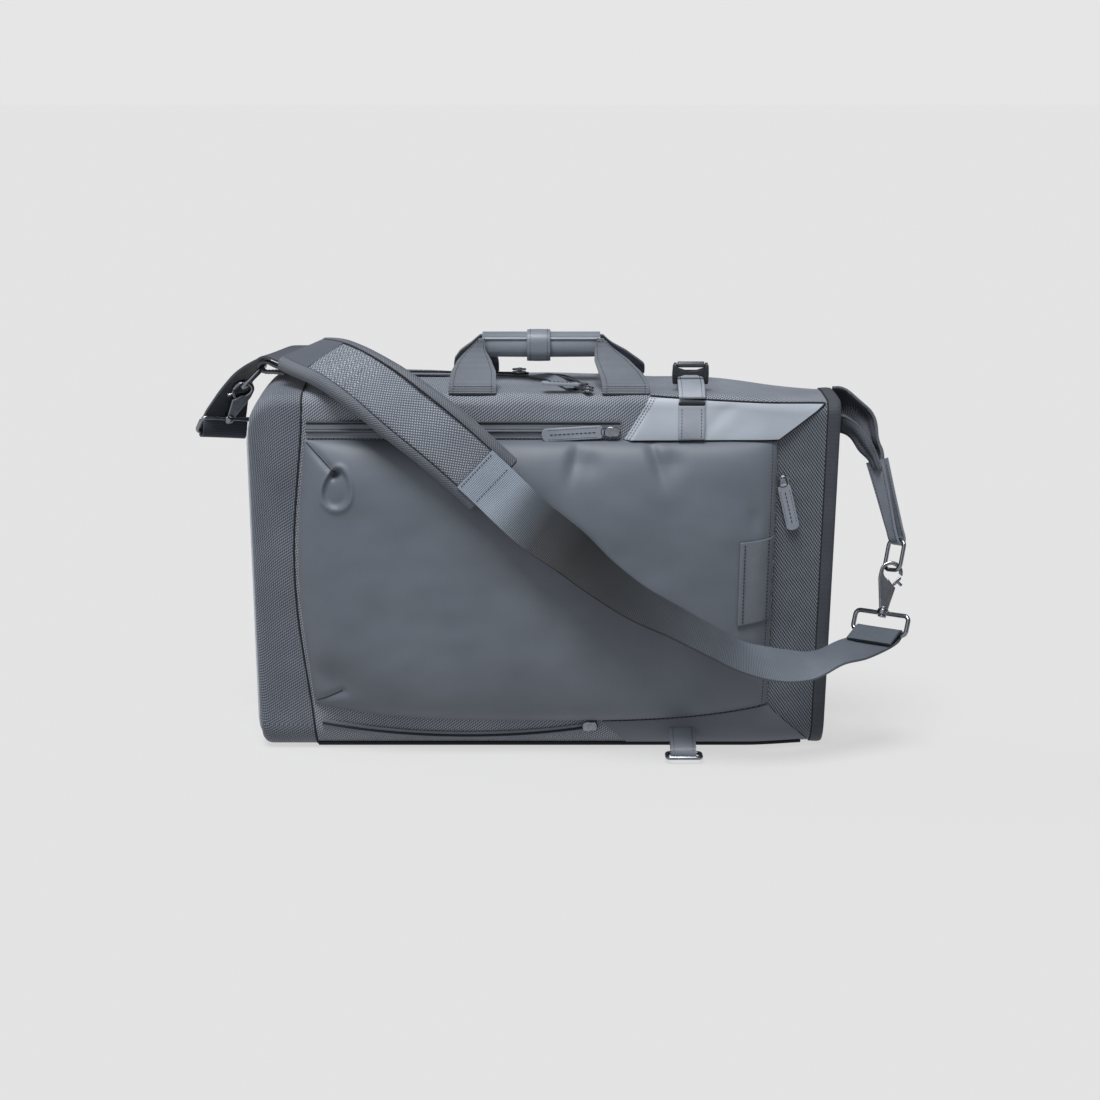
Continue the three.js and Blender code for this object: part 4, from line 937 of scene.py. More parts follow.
# %% Side panel
def side_point(u, v):
    x, z = lerp(POCKET_RIGHT + 0.8, RIM_START - 0.8, u), lerp(5.0, 268.5, v)
    slack = 0.9 * noise.noise(Vector((u * 1.3, z / 34, 2.0)))
    slack += 0.5 * noise.noise(Vector((u * 3, z / 11, 7.0)))
    return front_skin(x, z, 0.8 + slack * math.sin(math.pi * u))


side_panel = cloth_grid("side_panel", 14, 90, side_point)
thicken(side_panel, 0.6)
dress(side_panel, side_twill, angle=70)

# %% Leather patch
PATCH_WIDTH, PATCH_HEIGHT, PATCH_MIDDLE = 26, 66, 134


def patch_point(u, v, lift=0.0):
    x = POCKET_RIGHT - 1 - PATCH_WIDTH * (1 - u)
    z = PATCH_MIDDLE + PATCH_HEIGHT * (v - 0.5)
    share = clamp((x + POCKET_LEFT) / (POCKET_RIGHT + POCKET_LEFT))
    up = clamp((z - POCKET_FOOT - 3) / (POCKET_TOP - POCKET_FOOT - 3))
    return pocket_point(share, up, 2.0 + lift)


patch = cloth_grid("leather_patch", 20, 44, patch_point)
thicken(patch, 1.4, round_rim=0.4)
dress(patch, patch_leather, ["label_patch"])
patch_rows = [[patch_point(u, lerp(0.02, 0.98, t), 0.85) for t in steps(40)] for u in (0.14, 0.86)]
sew("patch_stitches", patch_rows, 2.8, 1.9, 0.55)


# %% Padding by cloth simulation
def padding(piece, voxel, pressure, cap):
    """Remeshes a closed form, lets the cloth solver blow it up, and holds each point to a cap (mm)."""
    apply_modifier(piece, "REMESH", mode="VOXEL", voxel_size=voxel * MM, use_smooth_shade=True)
    before = [vertex.co.copy() for vertex in piece.data.vertices]
    cloth = piece.modifiers.new("Cloth", "CLOTH")
    cloth.settings.use_pressure = True
    cloth.settings.uniform_pressure_force = pressure
    cloth.settings.effector_weights.gravity = 0
    cloth.point_cache.frame_start, cloth.point_cache.frame_end = 1, 20
    for step in range(1, 21):
        bpy.context.scene.frame_set(step)
    bpy.context.view_layer.objects.active = piece
    bpy.ops.object.modifier_apply(modifier="Cloth")
    for vertex, start in zip(piece.data.vertices, before):
        moved = vertex.co - start
        if moved.length > cap * MM:
            vertex.co = start + moved.normalized() * cap * MM
    bpy.context.scene.frame_set(1)
    apply_modifier(piece, "SUBSURF", levels=1, subdivision_type="CATMULL_CLARK")


def face_outwards(piece, fill=False):
    """Turns the faces of a closed form outwards, once its open end is filled where it has one."""
    select_only(piece)
    bpy.ops.object.mode_set(mode="EDIT")
    if fill:
        bpy.ops.mesh.select_all(action="DESELECT")
        bpy.ops.mesh.select_non_manifold()
        bpy.ops.mesh.fill()
    bpy.ops.mesh.select_all(action="SELECT")
    bpy.ops.mesh.normals_make_consistent(inside=False)
    bpy.ops.object.mode_set(mode="OBJECT")


def lay_uv(piece, flat):
    """Writes a UV map in metres from each point's place, given in millimetres."""
    mesh = piece.data
    layer = mesh.uv_layers.active or mesh.uv_layers.new(name="UVMap")
    spots = [flat(vertex.co / MM) for vertex in mesh.vertices]
    for loop in mesh.loops:
        layer.data[loop.index].uv = spots[loop.vertex_index]


# %% Back panel
PANEL_LEFT, PANEL_RIGHT, PANEL_FOOT, PANEL_TOP = -178, 94, 28, 243


def panel_point(u, v, depth):
    x, z = lerp(PANEL_LEFT, PANEL_RIGHT, u), lerp(PANEL_FOOT, PANEL_TOP, v)
    channel = sum(math.exp(-((z - level) / 5) ** 2) for level in (92, 178))
    return settle(x, back_at(x), z) + Vector((0, GAP + 0.5 + depth * (1 - 0.55 * channel * smooth(depth)), 0))


PANEL_FULL, PANEL_THIN, PANEL_EASE = 6.2, 2.0, 16


def panel_depth(u, v):
    """The pad thins out towards its binding."""
    edge = min(min(u, 1 - u) * (PANEL_RIGHT - PANEL_LEFT), min(v, 1 - v) * (PANEL_TOP - PANEL_FOOT))
    return lerp(PANEL_THIN, PANEL_FULL, smooth(edge / PANEL_EASE))


def pad_face(u, v):
    return panel_point(lerp(0.996, 0.004, u), lerp(0.004, 0.996, v), panel_depth(u, v))


back_panel = cloth_grid("back_panel_pad", 60, 50, pad_face)
thicken(back_panel, 5.6)
padding(back_panel, 5, 3.0, 1.6)
lay_uv(back_panel, lambda p: (p.x * MM, p.z * MM))
dress(back_panel, back_mesh, ["back_panel"], angle=80)
panel_edge = [(t, 0) for t in steps(40)] + [(1, t) for t in steps(30)[1:]]
panel_edge += [(1 - t, 1) for t in steps(40)[1:]] + [(0, 1 - t) for t in steps(30)[1:-1]]
panel_binding = tube("back_panel_binding", [panel_point(u, v, 1.9) for u, v in panel_edge], 2.5, closed=True)
dress(panel_binding, edge_twill)
print("back panel:", len(back_panel.data.polygons), "faces")

# %% [markdown]
# ## The gathered ear of the rolled mouth
# The rolled mouth comes out of the rim as a curled sheet, open below, and narrows until a leather tab
# holds it. It is a sheet of twill bent round a curved middle line, with pleats that grow towards the tab.


# %% Curves and stations
def through(points, t):
    """A place on the centripetal curve through points, at a share t of the way by count."""
    span = t * (len(points) - 1)
    k = min(len(points) - 2, int(span))
    s = span - k
    b, c = points[k], points[k + 1]
    a = points[k - 1] if k > 0 else b * 2 - c
    d = points[k + 2] if k + 2 < len(points) else c * 2 - b
    near, here, far = (max(0.01, math.sqrt((q - p).length)) for p, q in ((a, b), (b, c), (c, d)))
    first = ((b - a) / near - (c - a) / (near + here) + (c - b) / here) * here
    last = ((c - b) / here - (d - b) / (here + far) + (d - c) / far) * here
    square, cube = c * 3 - b * 3 - first * 2 - last, b * 2 - c * 2 + first + last
    return b + first * s + square * s ** 2 + cube * s ** 3


def heading(points, t):
    return (through(points, min(1, t + 1e-4)) - through(points, max(0, t - 1e-4))).normalized()


def stations_along(rows, count, level=False):
    """The middle, the way across, the way up and the width at even shares of the rows given."""
    middles = [Vector(row[0]) for row in rows]
    ways = [Vector(row[1]).normalized() for row in rows]
    made = []
    for t in steps(count):
        along, across = heading(middles, t), through(ways, t)
        across = (across - along * (0 if level else across.dot(along))).normalized()
        k = min(len(rows) - 2, int(t * (len(rows) - 1)))
        width = lerp(rows[k][2], rows[k + 1][2], t * (len(rows) - 1) - k)
        made.append((through(middles, t), across, along.cross(across).normalized(), width))
    return made


def on_strap(stations, u, v, lift=0.0):
    """A place on a strap: u across it and v along it, as shares, and a lift off its middle."""
    span = v * (len(stations) - 1)
    k = min(len(stations) - 2, int(span))
    (at0, across0, up0, width0), (at1, across1, up1, width1) = stations[k], stations[k + 1]
    s = span - k
    middle, across, up = at0.lerp(at1, s), across0.lerp(across1, s), up0.lerp(up1, s)
    return middle + across * ((u - 0.5) * lerp(width0, width1, s)) + up * lift


def flat_strap(name, stations, columns, wall, form=lambda u, v: 0.0):
    """Webbing of one thickness through stations, and form(u, v) lifts it where it is not quite flat."""
    strap = cloth_grid(name, columns, len(stations) - 1, lambda u, v: on_strap(stations, u, v, form(u, v)))
    apply_modifier(strap, "SOLIDIFY", thickness=wall * MM, offset=0, use_even_offset=False)
    return strap


# %% The ear
EAR_REACH, EAR_DROP, EAR_SPREAD = 33, 44, 19
EAR_START = Vector((BODY_RIGHT + GAP, 0, BODY_HEIGHT - 18))
# out, deep and down along its middle line, then its half width and half height, as shares
EAR_ROWS = [(0, 0.24, 0, 1, 0.84), (0.22, 0.18, 0.04, 0.95, 0.84), (0.5, -0.06, 0.24, 0.74, 0.74),
            (0.76, -0.3, 0.54, 0.53, 0.5), (0.92, -0.48, 0.8, 0.45, 0.32), (1, -0.58, 1, 0.39, 0.21)]
EAR_LINE = [EAR_START + Vector((EAR_REACH * out, EAR_REACH * deep, -EAR_DROP * down))
            for out, deep, down, _, _ in EAR_ROWS]


def ear_point(u, v):
    span = v * (len(EAR_ROWS) - 1)
    k = min(len(EAR_ROWS) - 2, int(span))
    wide = lerp(EAR_ROWS[k][3], EAR_ROWS[k + 1][3], span - k) * EAR_SPREAD
    tall = lerp(EAR_ROWS[k][4], EAR_ROWS[k + 1][4], span - k) * EAR_SPREAD
    bent = clamp(v / 0.4)
    along = (Vector((1 - bent, 0, 0)) + heading(EAR_LINE, v) * bent).normalized()
    up = along.cross(Vector((0, -1, 0))).normalized()
    gap = lerp(64, 24, v)
    angle = math.radians(-135 + gap + u * (360 - 2 * gap))
    pleat = 0.9 * math.sin(angle * 7) * smooth(v * 1.6) + 0.9 * noise.noise(Vector((u * 5, v * 3.2, 4.0)))
    pleat += 1.3 * math.sin(math.pi * v) * math.sin(v * 17 + u * 4)
    return through(EAR_LINE, v) + Vector((0, 1, 0)) * (wide - 0.8 + pleat) * math.cos(angle) \
        + up * (tall - 0.8 + pleat) * math.sin(angle)


ear = cloth_grid("gathered_ear", 64, 44, ear_point)
apply_modifier(ear, "SOLIDIFY", thickness=1.6 * MM, offset=0)
dress(ear, roll_twill, ["roll_ear"], angle=70)
for name, u in (("ear_edge_front", 0.0), ("ear_edge_rear", 1.0)):
    dress(tube(name, [ear_point(u, t) for t in steps(30)], 1.2), edge_twill)
print("ear made")

# %% [markdown]
# ## Zips
# Each zip is a tape with a raised coil along its middle. The band above the pocket is the flap that the
# front zip hides under. The top zip lies behind the front edge and stands open between its two sliders,
# so the shell is cut there.

# %% Tapes on the front
TAPE_LIFT, TAPE_WALL = 0.4, 1.0
ZIP_LEFT, ZIP_RIGHT = -178, 0.35 * POCKET_RIGHT - 3
# heights over the pocket's top
TAPE_FOOT, COIL_MIDDLE, TAPE_TOP, FLAP_SHADOW, FLAP_EDGE = 1, 6.6, 12, 12.0, 13.4
TEETH_LOW, TEETH_HIGH = 5.4, 7.9


def front_band(name, left, right, low, high, across, stands_for):
    """A zip tape on the front from left to right, between two heights that go by share."""
    def place(u, v):
        return front_skin(lerp(left, right, u), lerp(low(u), high(u), v), TAPE_LIFT + TAPE_WALL)

    strip = cloth_grid(name, across, 6, place)
    thicken(strip, TAPE_WALL)
    dress(strip, zip_tape, [stands_for])


def zip_line(rise, lift):
    return [front_skin(lerp(ZIP_LEFT, ZIP_RIGHT, t), POCKET_TOP + rise, lift) for t in steps(90)]


front_band("upper_zip_tape", ZIP_LEFT, ZIP_RIGHT, lambda u: POCKET_TOP + TAPE_FOOT,
           lambda u: POCKET_TOP + TAPE_TOP, 80, "front_zip")
dress(tube("upper_zip_coil", zip_line(COIL_MIDDLE, 2.0), 0.9), zip_tape)
dress(tube("front_flap_edge", zip_line(FLAP_EDGE, 1.1), 0.95), edge_twill)
seam("front_flap_shadow", zip_line(FLAP_SHADOW, 0.9), 0.8)
sew("upper_zip_teeth", [zip_line(TEETH_LOW, 1.5), zip_line(TEETH_HIGH, 1.5)], 1.6, 1.0, 0.3)


def low_zip_z(u):
    return POCKET_FOOT - 13 + 11 * abs(lerp(-1, 0.9, u)) ** 2


LOW_LEFT, LOW_RIGHT = -POCKET_LEFT + 3, 0.25 * POCKET_RIGHT
front_band("lower_zip_tape", LOW_LEFT, LOW_RIGHT, lambda u: low_zip_z(u) - 4, lambda u: low_zip_z(u) + 3,
           70, "lower_zip")
low_coil_line = [front_skin(lerp(LOW_LEFT, LOW_RIGHT, t), low_zip_z(t), 2.0) for t in steps(60)]
seam("lower_zip_coil", low_coil_line, 0.9)

# %% The open zip on top
TOP_ROW = 20
SLIDER_A, SLIDER_B = (-10, TOP_ROW), (31, -FRONT_DEPTH + 12)
TURN = [Vector((lerp(SLIDER_A[0], SLIDER_B[0], u), lerp(SLIDER_A[1], SLIDER_B[1], v), 0))
        for u, v in ((0.15, 0.015), (0.49, 0.21), (0.78, 0.545), (0.975, 0.865))]
STRAIGHT = [Vector((-124, TOP_ROW, 0)), Vector((-60, TOP_ROW, 0)), Vector((*SLIDER_A, 0))]


def beside(line, t, offset, lift):
    """A place on the top, beside a line on plan, by an offset to its right."""
    p = through(line, t)
    side = heading(line, t).cross(Vector((0, 0, 1))).normalized()
    return top_skin(p.x + side.x * offset, p.y + side.y * offset, lift)


def top_strip(name, line, near, far, count, lift, wall):
    strip = cloth_grid(name, 5, count, lambda u, v: beside(line, v, lerp(near, far, u), lift(u, v) + wall))
    thicken(strip, wall)
    return strip


cutter_points, cutter_faces = [], []
for t in steps(16):
    for offset, height in ((-4.5, -18), (4.5, -18), (4.5, 14), (-4.5, 14)):
        cutter_points.append(beside(TURN, t, offset, height) * MM)
for i in range(16):
    for j in range(4):
        k = (j + 1) % 4
        cutter_faces.append((4 * i + j, 4 * i + k, 4 * i + 4 + k, 4 * i + 4 + j))
cutter_faces += [(3, 2, 1, 0), (64, 65, 66, 67)]
cutter_mesh = bpy.data.meshes.new("opening_cutter")
cutter_mesh.from_pydata(cutter_points, [], cutter_faces)
cutter = add_object("opening_cutter", cutter_mesh)
face_outwards(cutter)
faces_before = len(main_shell.data.polygons)
apply_modifier(main_shell, "BOOLEAN", object=cutter, operation="DIFFERENCE", solver="EXACT")
bpy.data.objects.remove(cutter)
round_shading(main_shell)
print("shell cut:", faces_before, "to", len(main_shell.data.polygons), "faces")

def front_rise(u, v):
    return 0.9 + 3.4 * (1 - u) * math.sin(math.pi * v)


def rear_rise(u, v):
    return 0.9 + 1.6 * u * math.sin(math.pi * v)


straight_tape = top_strip("top_zip_tape", STRAIGHT, -7, 7, 50, lambda u, v: 0.9, 1.0)
dress(straight_tape, zip_tape, ["top_zip"])
seam("top_zip_coil", [beside(STRAIGHT, t, 0, 2.6) for t in steps(60)], 0.9)
front_tape = top_strip("top_tape_front_cloth", TURN, 4.8, 11, 30, front_rise, 0.9)
dress(front_tape, zip_tape, ["top_tape_front"])
rear_tape = top_strip("top_tape_rear_cloth", TURN, -11, -4.8, 30, rear_rise, 0.9)
dress(rear_tape, zip_tape, ["top_tape_rear"])
for name, offset, rise in (("top_teeth_front", 4.9, 4.6), ("top_teeth_rear", -4.9, 2.8)):
    row = [beside(TURN, t, offset, 1.2 + rise * math.sin(math.pi * t) * 0.9) for t in steps(40)]
    sew(name, [row], 1.5, 1.0, 0.6)
print("zips made")

# %% [markdown]
# ## Fittings
# Each strap end hangs in a line: a leather tab, an oval link, a snap hook with its gate, and a square ring
# that turns on the hook's stem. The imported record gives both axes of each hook, and everything is placed
# from them. A flat part is a closed curve in its own plane with a bevelled edge, made a mesh.

# %% Where the hooks are
RECORD_JOINTS = {joint["name"]: joint for joint in frame["record"]["behaviour"]["joints"]}
RING_GAUGE, RING_WIDTH, RING_HEIGHT, BAR_DROP = 3.6, 50, 19, 18.6
HOOK_REACH, EYE_RADIUS, HOOK_BAND, HOOK_THICKNESS = 29, 6, 2.9, 4.4
WIRE, LINK_WIDTH, LINK_HEIGHT, LINK_SLACK = 3.2, 19, 27, 2.2


def placing(origin, across, up):
    """A matrix that puts local X across, local Z up and local Y behind, at an origin in millimetres."""
    z = Vector(up).normalized()
    y = z.cross(Vector(across)).normalized()
    turn = Matrix((y.cross(z), y, z)).transposed().to_4x4()
    return Matrix.Translation(Vector(origin)) @ turn


def fitting(side, ring_across, link_across, link_lean):
    swivel = RECORD_JOINTS[side + "_swivel"]
    origin, up = Vector(swivel["pos_m"]) / MM, Vector(swivel["axis"])
    behind = Vector(RECORD_JOINTS[side + "_gate_hinge"]["axis"])
    foot = origin + up * (HOOK_REACH + EYE_RADIUS - WIRE / 2 - LINK_SLACK)
    down = Vector(link_lean).normalized()
    bar = foot - down * (LINK_HEIGHT - WIRE)
    ring = placing(origin, ring_across, up)
    return {"hook": placing(origin, behind.cross(up), up), "ring": ring, "tab_bar": bar,
            "link": placing(bar + down * (LINK_HEIGHT - WIRE) / 2, link_across, -down),
            "bar": origin - up * BAR_DROP, "across": (ring.to_3x3() @ Vector((1, 0, 0)))}


right = fitting("right", (0.75, -0.65, -0.1), (0.62, -0.78, 0.05), (-0.2, -0.3, -0.93))
left = fitting("left", (0.6, 0.68, -0.42), (0.1, 0.99, 0), (-0.7, 0.12, -0.71))
for side, held in (("right", right), ("left", left)):
    print(side, "strap bar at", [round(c, 1) for c in held["bar"]])


# %% Plates, pins and wires
def plate(name, outline, thickness, edge, place):
    """A flat plate from a closed outline (x, z) in its own plane, with a rounded edge."""
    curve = bpy.data.curves.new(name, "CURVE")
    curve.dimensions, curve.fill_mode = "2D", "BOTH"
    curve.extrude, curve.bevel_depth = (thickness / 2 - edge) * MM, edge * MM
    curve.bevel_resolution, curve.offset = 2, -edge * MM
    piece = mesh_from_curve(name, curve, [(x * MM, z * MM, 0, 1) for x, z in outline], True)
    upright = Matrix(((1, 0, 0, 0), (0, 0, -1, 0), (0, 1, 0, 0), (0, 0, 0, 1)))
    set_in_place(piece, place @ upright)
    return piece


def set_in_place(piece, place):
    """Moves a mesh by a placing given in millimetres; the object itself stays at the origin."""
    scaled = place.copy()
    scaled.translation = place.translation * MM
    piece.data.transform(scaled)


def pin(name, radius, low, high, place, edge=0.4, sides=32):
    """A cylinder along a placing's Z, with eased ends."""
    deselect()
    bpy.ops.mesh.primitive_cylinder_add(vertices=sides, radius=radius * MM, depth=(high - low) * MM)
    piece = bpy.context.object
    piece.name = name
    piece.data.transform(Matrix.Translation((0, 0, (low + high) / 2 * MM)))
    set_in_place(piece, place)
    if edge:
        apply_modifier(piece, "BEVEL", width=edge * MM, segments=3, limit_method="ANGLE")
    return piece


def joined(name, *pieces):
    deselect()
    for piece in pieces:
        piece.select_set(True)
    bpy.context.view_layer.objects.active = pieces[0]
    bpy.ops.object.join()
    pieces[0].name = name
    return pieces[0]


def round_loop(width, height, radius, per_corner=10):
    points = []
    for k, (sx, sz) in enumerate(((1, 1), (-1, 1), (-1, -1), (1, -1))):
        for t in steps(per_corner):
            angle = (k + t) * math.pi / 2
            points.append((sx * (width / 2 - radius) + radius * math.cos(angle),
                           sz * (height / 2 - radius) + radius * math.sin(angle)))
    return points


def wire_ring(name, width, height, radius, gauge, place):
    loop = [place @ Vector((x, 0, z)) for x, z in round_loop(width - gauge, height - gauge, radius)]
    return tube(name, loop, gauge / 2, closed=True, resolution=4)


def arc(cx, cz, radius, start, end, count):
    return [(cx + radius * math.cos(lerp(start, end, t)), cz + radius * math.sin(lerp(start, end, t)))
            for t in steps(count)]


# %% Hooks, gates, rings and links
OUTER = EYE_RADIUS + HOOK_BAND
HOOK_OUTLINE = [(-3.4, 0), (3.4, 0), (OUTER * 0.62, HOOK_REACH - OUTER * 1.25),
                (OUTER * 0.3, HOOK_REACH - OUTER * 1.02), (-1.5, HOOK_REACH - EYE_RADIUS * 0.86)]
HOOK_OUTLINE += arc(0, HOOK_REACH, EYE_RADIUS, -0.6 * math.pi, -1.97 * math.pi, 30)
HOOK_OUTLINE += [(OUTER, HOOK_REACH - 1)]
HOOK_OUTLINE += arc(0, HOOK_REACH, OUTER, 0, math.pi, 30) + [(-OUTER, HOOK_REACH - EYE_RADIUS)]
GATE_PIN = Vector((EYE_RADIUS * 0.66, 0, HOOK_REACH - EYE_RADIUS - HOOK_BAND + 0.4))
GATE_TIP = Vector((EYE_RADIUS + HOOK_BAND * 0.62, 0, HOOK_REACH - 2.4))
GATE_LENGTH = (GATE_TIP - GATE_PIN).length


def snap_hook(side, held):
    at = held["hook"]
    body = plate(side + "_hook_plate", HOOK_OUTLINE, HOOK_THICKNESS, 0.9, at)
    collar = pin(side + "_hook_collar", 3.3, -0.2, 1.6, at, 0.5)
    stem = pin(side + "_hook_stem", 2.0, -6.4, 0.4, at, 0.3)
    head = pin(side + "_hook_head", 3.3, -6.5, -4.9, at, 0.5)
    body = joined(side + "_hook_body", body, collar, stem, head)
    dress(body, gunmetal, [side + "_hook"], body=side + "_hook", angle=40)
    along = (GATE_TIP - GATE_PIN).normalized()
    gate_place = at @ placing(GATE_PIN, along, (-along.z, 0, along.x))
    outline = arc(GATE_LENGTH - 0.9, 0, 1.2, -math.pi / 2, math.pi / 2, 8)
    outline += arc(0.2, 0, 1.2, math.pi / 2, 1.5 * math.pi, 8)
    lever = plate(side + "_gate_lever", outline, HOOK_THICKNESS - 1.4, 0.5, gate_place)
    stud_place = gate_place @ Matrix.Translation(Vector((GATE_LENGTH * 0.48, 0, 0)))
    stud = pin(side + "_gate_stud", 1.1, -5.0, -0.6, stud_place, 0.35, 20)
    lever = joined(side + "_gate_lever", lever, stud)
    dress(lever, gunmetal, [side + "_gate"], body=side + "_gate", angle=40)


def ring_and_link(side, held):
    at = held["ring"]
    middle = at @ Matrix.Translation(Vector((0, 0, -BAR_DROP + (RING_HEIGHT - RING_GAUGE) / 2)))
    ring = wire_ring(side + "_ring_wire", RING_WIDTH, RING_HEIGHT, 4, RING_GAUGE, middle)
    boss = pin(side + "_ring_boss", 4.4, -4.6, -0.3, at, 0.6, 40)
    for piece in (ring, boss):
        bore = pin(side + "_bore", 2.3, -12, 3, at, 0)
        apply_modifier(piece, "BOOLEAN", object=bore, operation="DIFFERENCE", solver="EXACT")
        bpy.data.objects.remove(bore)
    seat = pin(side + "_bore", 4.0, -9, -4.6, at, 0)
    apply_modifier(ring, "BOOLEAN", object=seat, operation="DIFFERENCE", solver="EXACT")
    bpy.data.objects.remove(seat)
    ring = joined(side + "_ring_and_boss", ring, boss)
    dress(ring, gunmetal, [side + "_square_ring"], angle=40)
    link_piece = wire_ring(side + "_link_wire", LINK_WIDTH, LINK_HEIGHT, 5, WIRE, held["link"])
    dress(link_piece, gunmetal, [side + "_link"], angle=40)


for side, held in (("right", right), ("left", left)):
    snap_hook(side, held)
    ring_and_link(side, held)
print("fittings made")

# %% Leather tabs of the fittings
WEB_WALL = 2
TAB_CORNERS = 6.4  # what a link's round corners take from the width of its tab
EAR_END = EAR_LINE[-1]


def tab_rows(top, held, across, spread, top_across, top_width):
    bar = held["tab_bar"]
    down = (bar - top).normalized()
    side = down.cross(Vector(across)).normalized()
    bend = WIRE / 2 + GAP + WEB_WALL / 2 + 0.5
    end = LINK_WIDTH - WIRE - TAB_CORNERS
    mid = lerp(top_width, end, 0.5)

    def ply(share, out, width):
        return (top + (bar - top) * share + side * out, across, width)

    rows = [ply(0, -spread, top_width), ply(0.45, lerp(-spread, -bend, 0.5), mid),
            ply(0.86, -bend - 0.5, end), ply(1, -bend, end), (bar + down * bend, across, end),
            ply(1, bend, end), ply(0.86, bend + 0.5, end), ply(0.45, lerp(spread, bend, 0.5), mid),
            ply(0, spread, top_width)]
    turned = [lerp(a, b, 0.55) for a, b in zip(across, top_across)]
    for k, way in ((0, top_across), (1, turned), (7, turned), (8, top_across)):
        rows[k] = (rows[k][0], way, rows[k][2])
    return rows


left_root = top_skin(-BODY_LEFT + 30, 0.28 * BACK_DEPTH, GAP + WEB_WALL / 2 + 1.6)
TAB_PLACES = (("right", right, EAR_END + Vector((-1, 1, 6)), (0.62, -0.78, 0.05), 2.6, (0.8, -0.6, 0.1), 15),
              ("left", left, left_root, (0.1, 0.99, 0), 1.4, (0.1, 0.99, 0), 17))
for side, held, root, across, spread, top_across, top_width in TAB_PLACES:
    stations = stations_along(tab_rows(root, held, across, spread, top_across, top_width), 72)
    tab = flat_strap(side + "_leather_tab", stations, 8, 1.8)
    dress(tab, tab_leather, [side + "_tab"], angle=60)
    rows = []
    for u in (0.12, 0.88):
        for a, b, lift in ((0.02, 0.38, -1.0), (0.62, 0.98, -1.0), (0.02, 0.38, 1.0), (0.62, 0.98, 1.0)):
            rows.append([on_strap(stations, u, lerp(a, b, t), lift) for t in steps(30)])
    sew(side + "_tab_stitches", rows, 2.6, 1.8, 0.32)

# %% [markdown]
# ## The shoulder strap
# The webbing runs from the right ring down across the pocket and up to the pad, and from the pad's other
# end over the top to the left ring. It is the same flat sheet throughout; only its path turns it. The pad
# is closed foam, blown up by the cloth solver, with a mesh face, tape over both long edges and a smooth
# patch where it passes over the bag's edge.

# %% Rows of the strap
STRAP_WIDTH, PAD_WIDTH, PAD_WALL = 38, 50, 9
POCKET_FACE = FRONT_DEPTH + CROWN + POCKET_DEPTH


def loop_rows(held, away, out, length):
    """A strap's end goes over its bar and back under itself."""
    b = held["across"]
    flat = Vector(away).normalized()
    flat = (flat - b * flat.dot(b)).normalized()
    face = Vector(out).normalized()
    face = (face - flat * face.dot(flat)).normalized()
    lift = RING_GAUGE / 2 + GAP + WEB_WALL / 2 + 0.3
    spots = ((length, lift + 0.4), (length * 0.5, lift + 0.2), (0, lift), (-lift * 0.8, lift * 0.62),
             (-lift, 0), (-lift * 0.8, -lift * 0.62), (1.5, -lift * 0.9), (length * 0.6, -lift * 0.4))
    return [(held["bar"] + flat * along + face * up, b, STRAP_WIDTH) for along, up in spots]


def front_row(along, out, up, across):
    place = Vector((along * BODY_RIGHT, -POCKET_FACE - out * STRAP_WIDTH, up * BODY_HEIGHT))
    return (place, across, STRAP_WIDTH)


def deep_row(along, deep, up, across, width=STRAP_WIDTH):
    return (Vector((along * BODY_RIGHT, -deep * POCKET_FACE, up * BODY_HEIGHT)), across, width)


# shares along the bag, out or deep and up, then the way across
FRONT_ROWS = [
    (1.044, -0.434, 0.298, (0.5, -0.85, -0.12)), (0.96, -0.16, 0.285, (0.2, -0.97, -0.07)),
    (0.859, 0.16, 0.276, (0.1, -0.92, -0.36)), (0.759, 0.38, 0.287, (0.02, -0.88, -0.43)),
    (0.656, 0.46, 0.312, (-0.12, -0.91, -0.36)), (0.556, 0.48, 0.355, (-0.18, -0.9, -0.35)),
    (0.433, 0.48, 0.41, (-0.22, -0.88, -0.38)), (0.315, 0.46, 0.46, (-0.28, -0.82, -0.46)),
    (0.193, 0.42, 0.531, (-0.4, -0.72, -0.52)), (0.088, 0.37, 0.604, (-0.5, -0.52, -0.66)),
    (-0.02, 0.32, 0.67, (-0.56, -0.3, -0.76)), (-0.095, 0.34, 0.729, (-0.6, -0.1, -0.78))]
PAD_ROWS = [
    (-0.155, 1.07, 0.778, (-0.6, -0.04, -0.8)), (-0.225, 1.07, 0.832, (-0.65, -0.02, -0.76)),
    (-0.332, 1.047, 0.908, (-0.65, -0.08, -0.75)), (-0.447, 0.953, 0.976, (-0.63, -0.26, -0.73)),
    (-0.555, 0.779, 1.032, (-0.56, -0.55, -0.62)), (-0.683, 0.488, 1.079, (-0.44, -0.75, -0.49)),
    (-0.8, 0.14, 1.0935, (-0.35, -0.89, -0.29))]
REAR_ROWS = [
    (-0.8025, 0.132, 1.0938, (-0.35, -0.89, -0.29)), (-0.835, 0.03, 1.093, (-0.25, -0.95, -0.18)),
    (-0.917, -0.2, 1.083, (-0.12, -0.98, 0.03)), (-1.035, -0.4, 1.012, (-0.22, -0.95, 0.2)),
    (-1.1, -0.485, 0.912, (-0.5, -0.74, 0.44))]
PAD_END = [(-0.155, 0.778, (-0.62, -0.06, -0.79)), (-0.215, 0.825, (-0.65, -0.04, -0.76))]
on_pad = Vector((0, -PAD_WALL * 0.56 - WEB_WALL / 2 - 2 * GAP, 0))
front_rows = loop_rows(right, (-0.66, -0.6, -0.45), (-0.35, -0.52, 0.78), 16)
front_rows += [front_row(*row) for row in FRONT_ROWS]
for along, up, across in PAD_END:
    place, way, width = deep_row(along, PAD_ROWS[0][1], up, across)
    front_rows.append((place + on_pad, way, width))
pad_rows = [deep_row(*row, PAD_WIDTH) for row in PAD_ROWS]
rear_rows = [deep_row(*row) for row in REAR_ROWS]
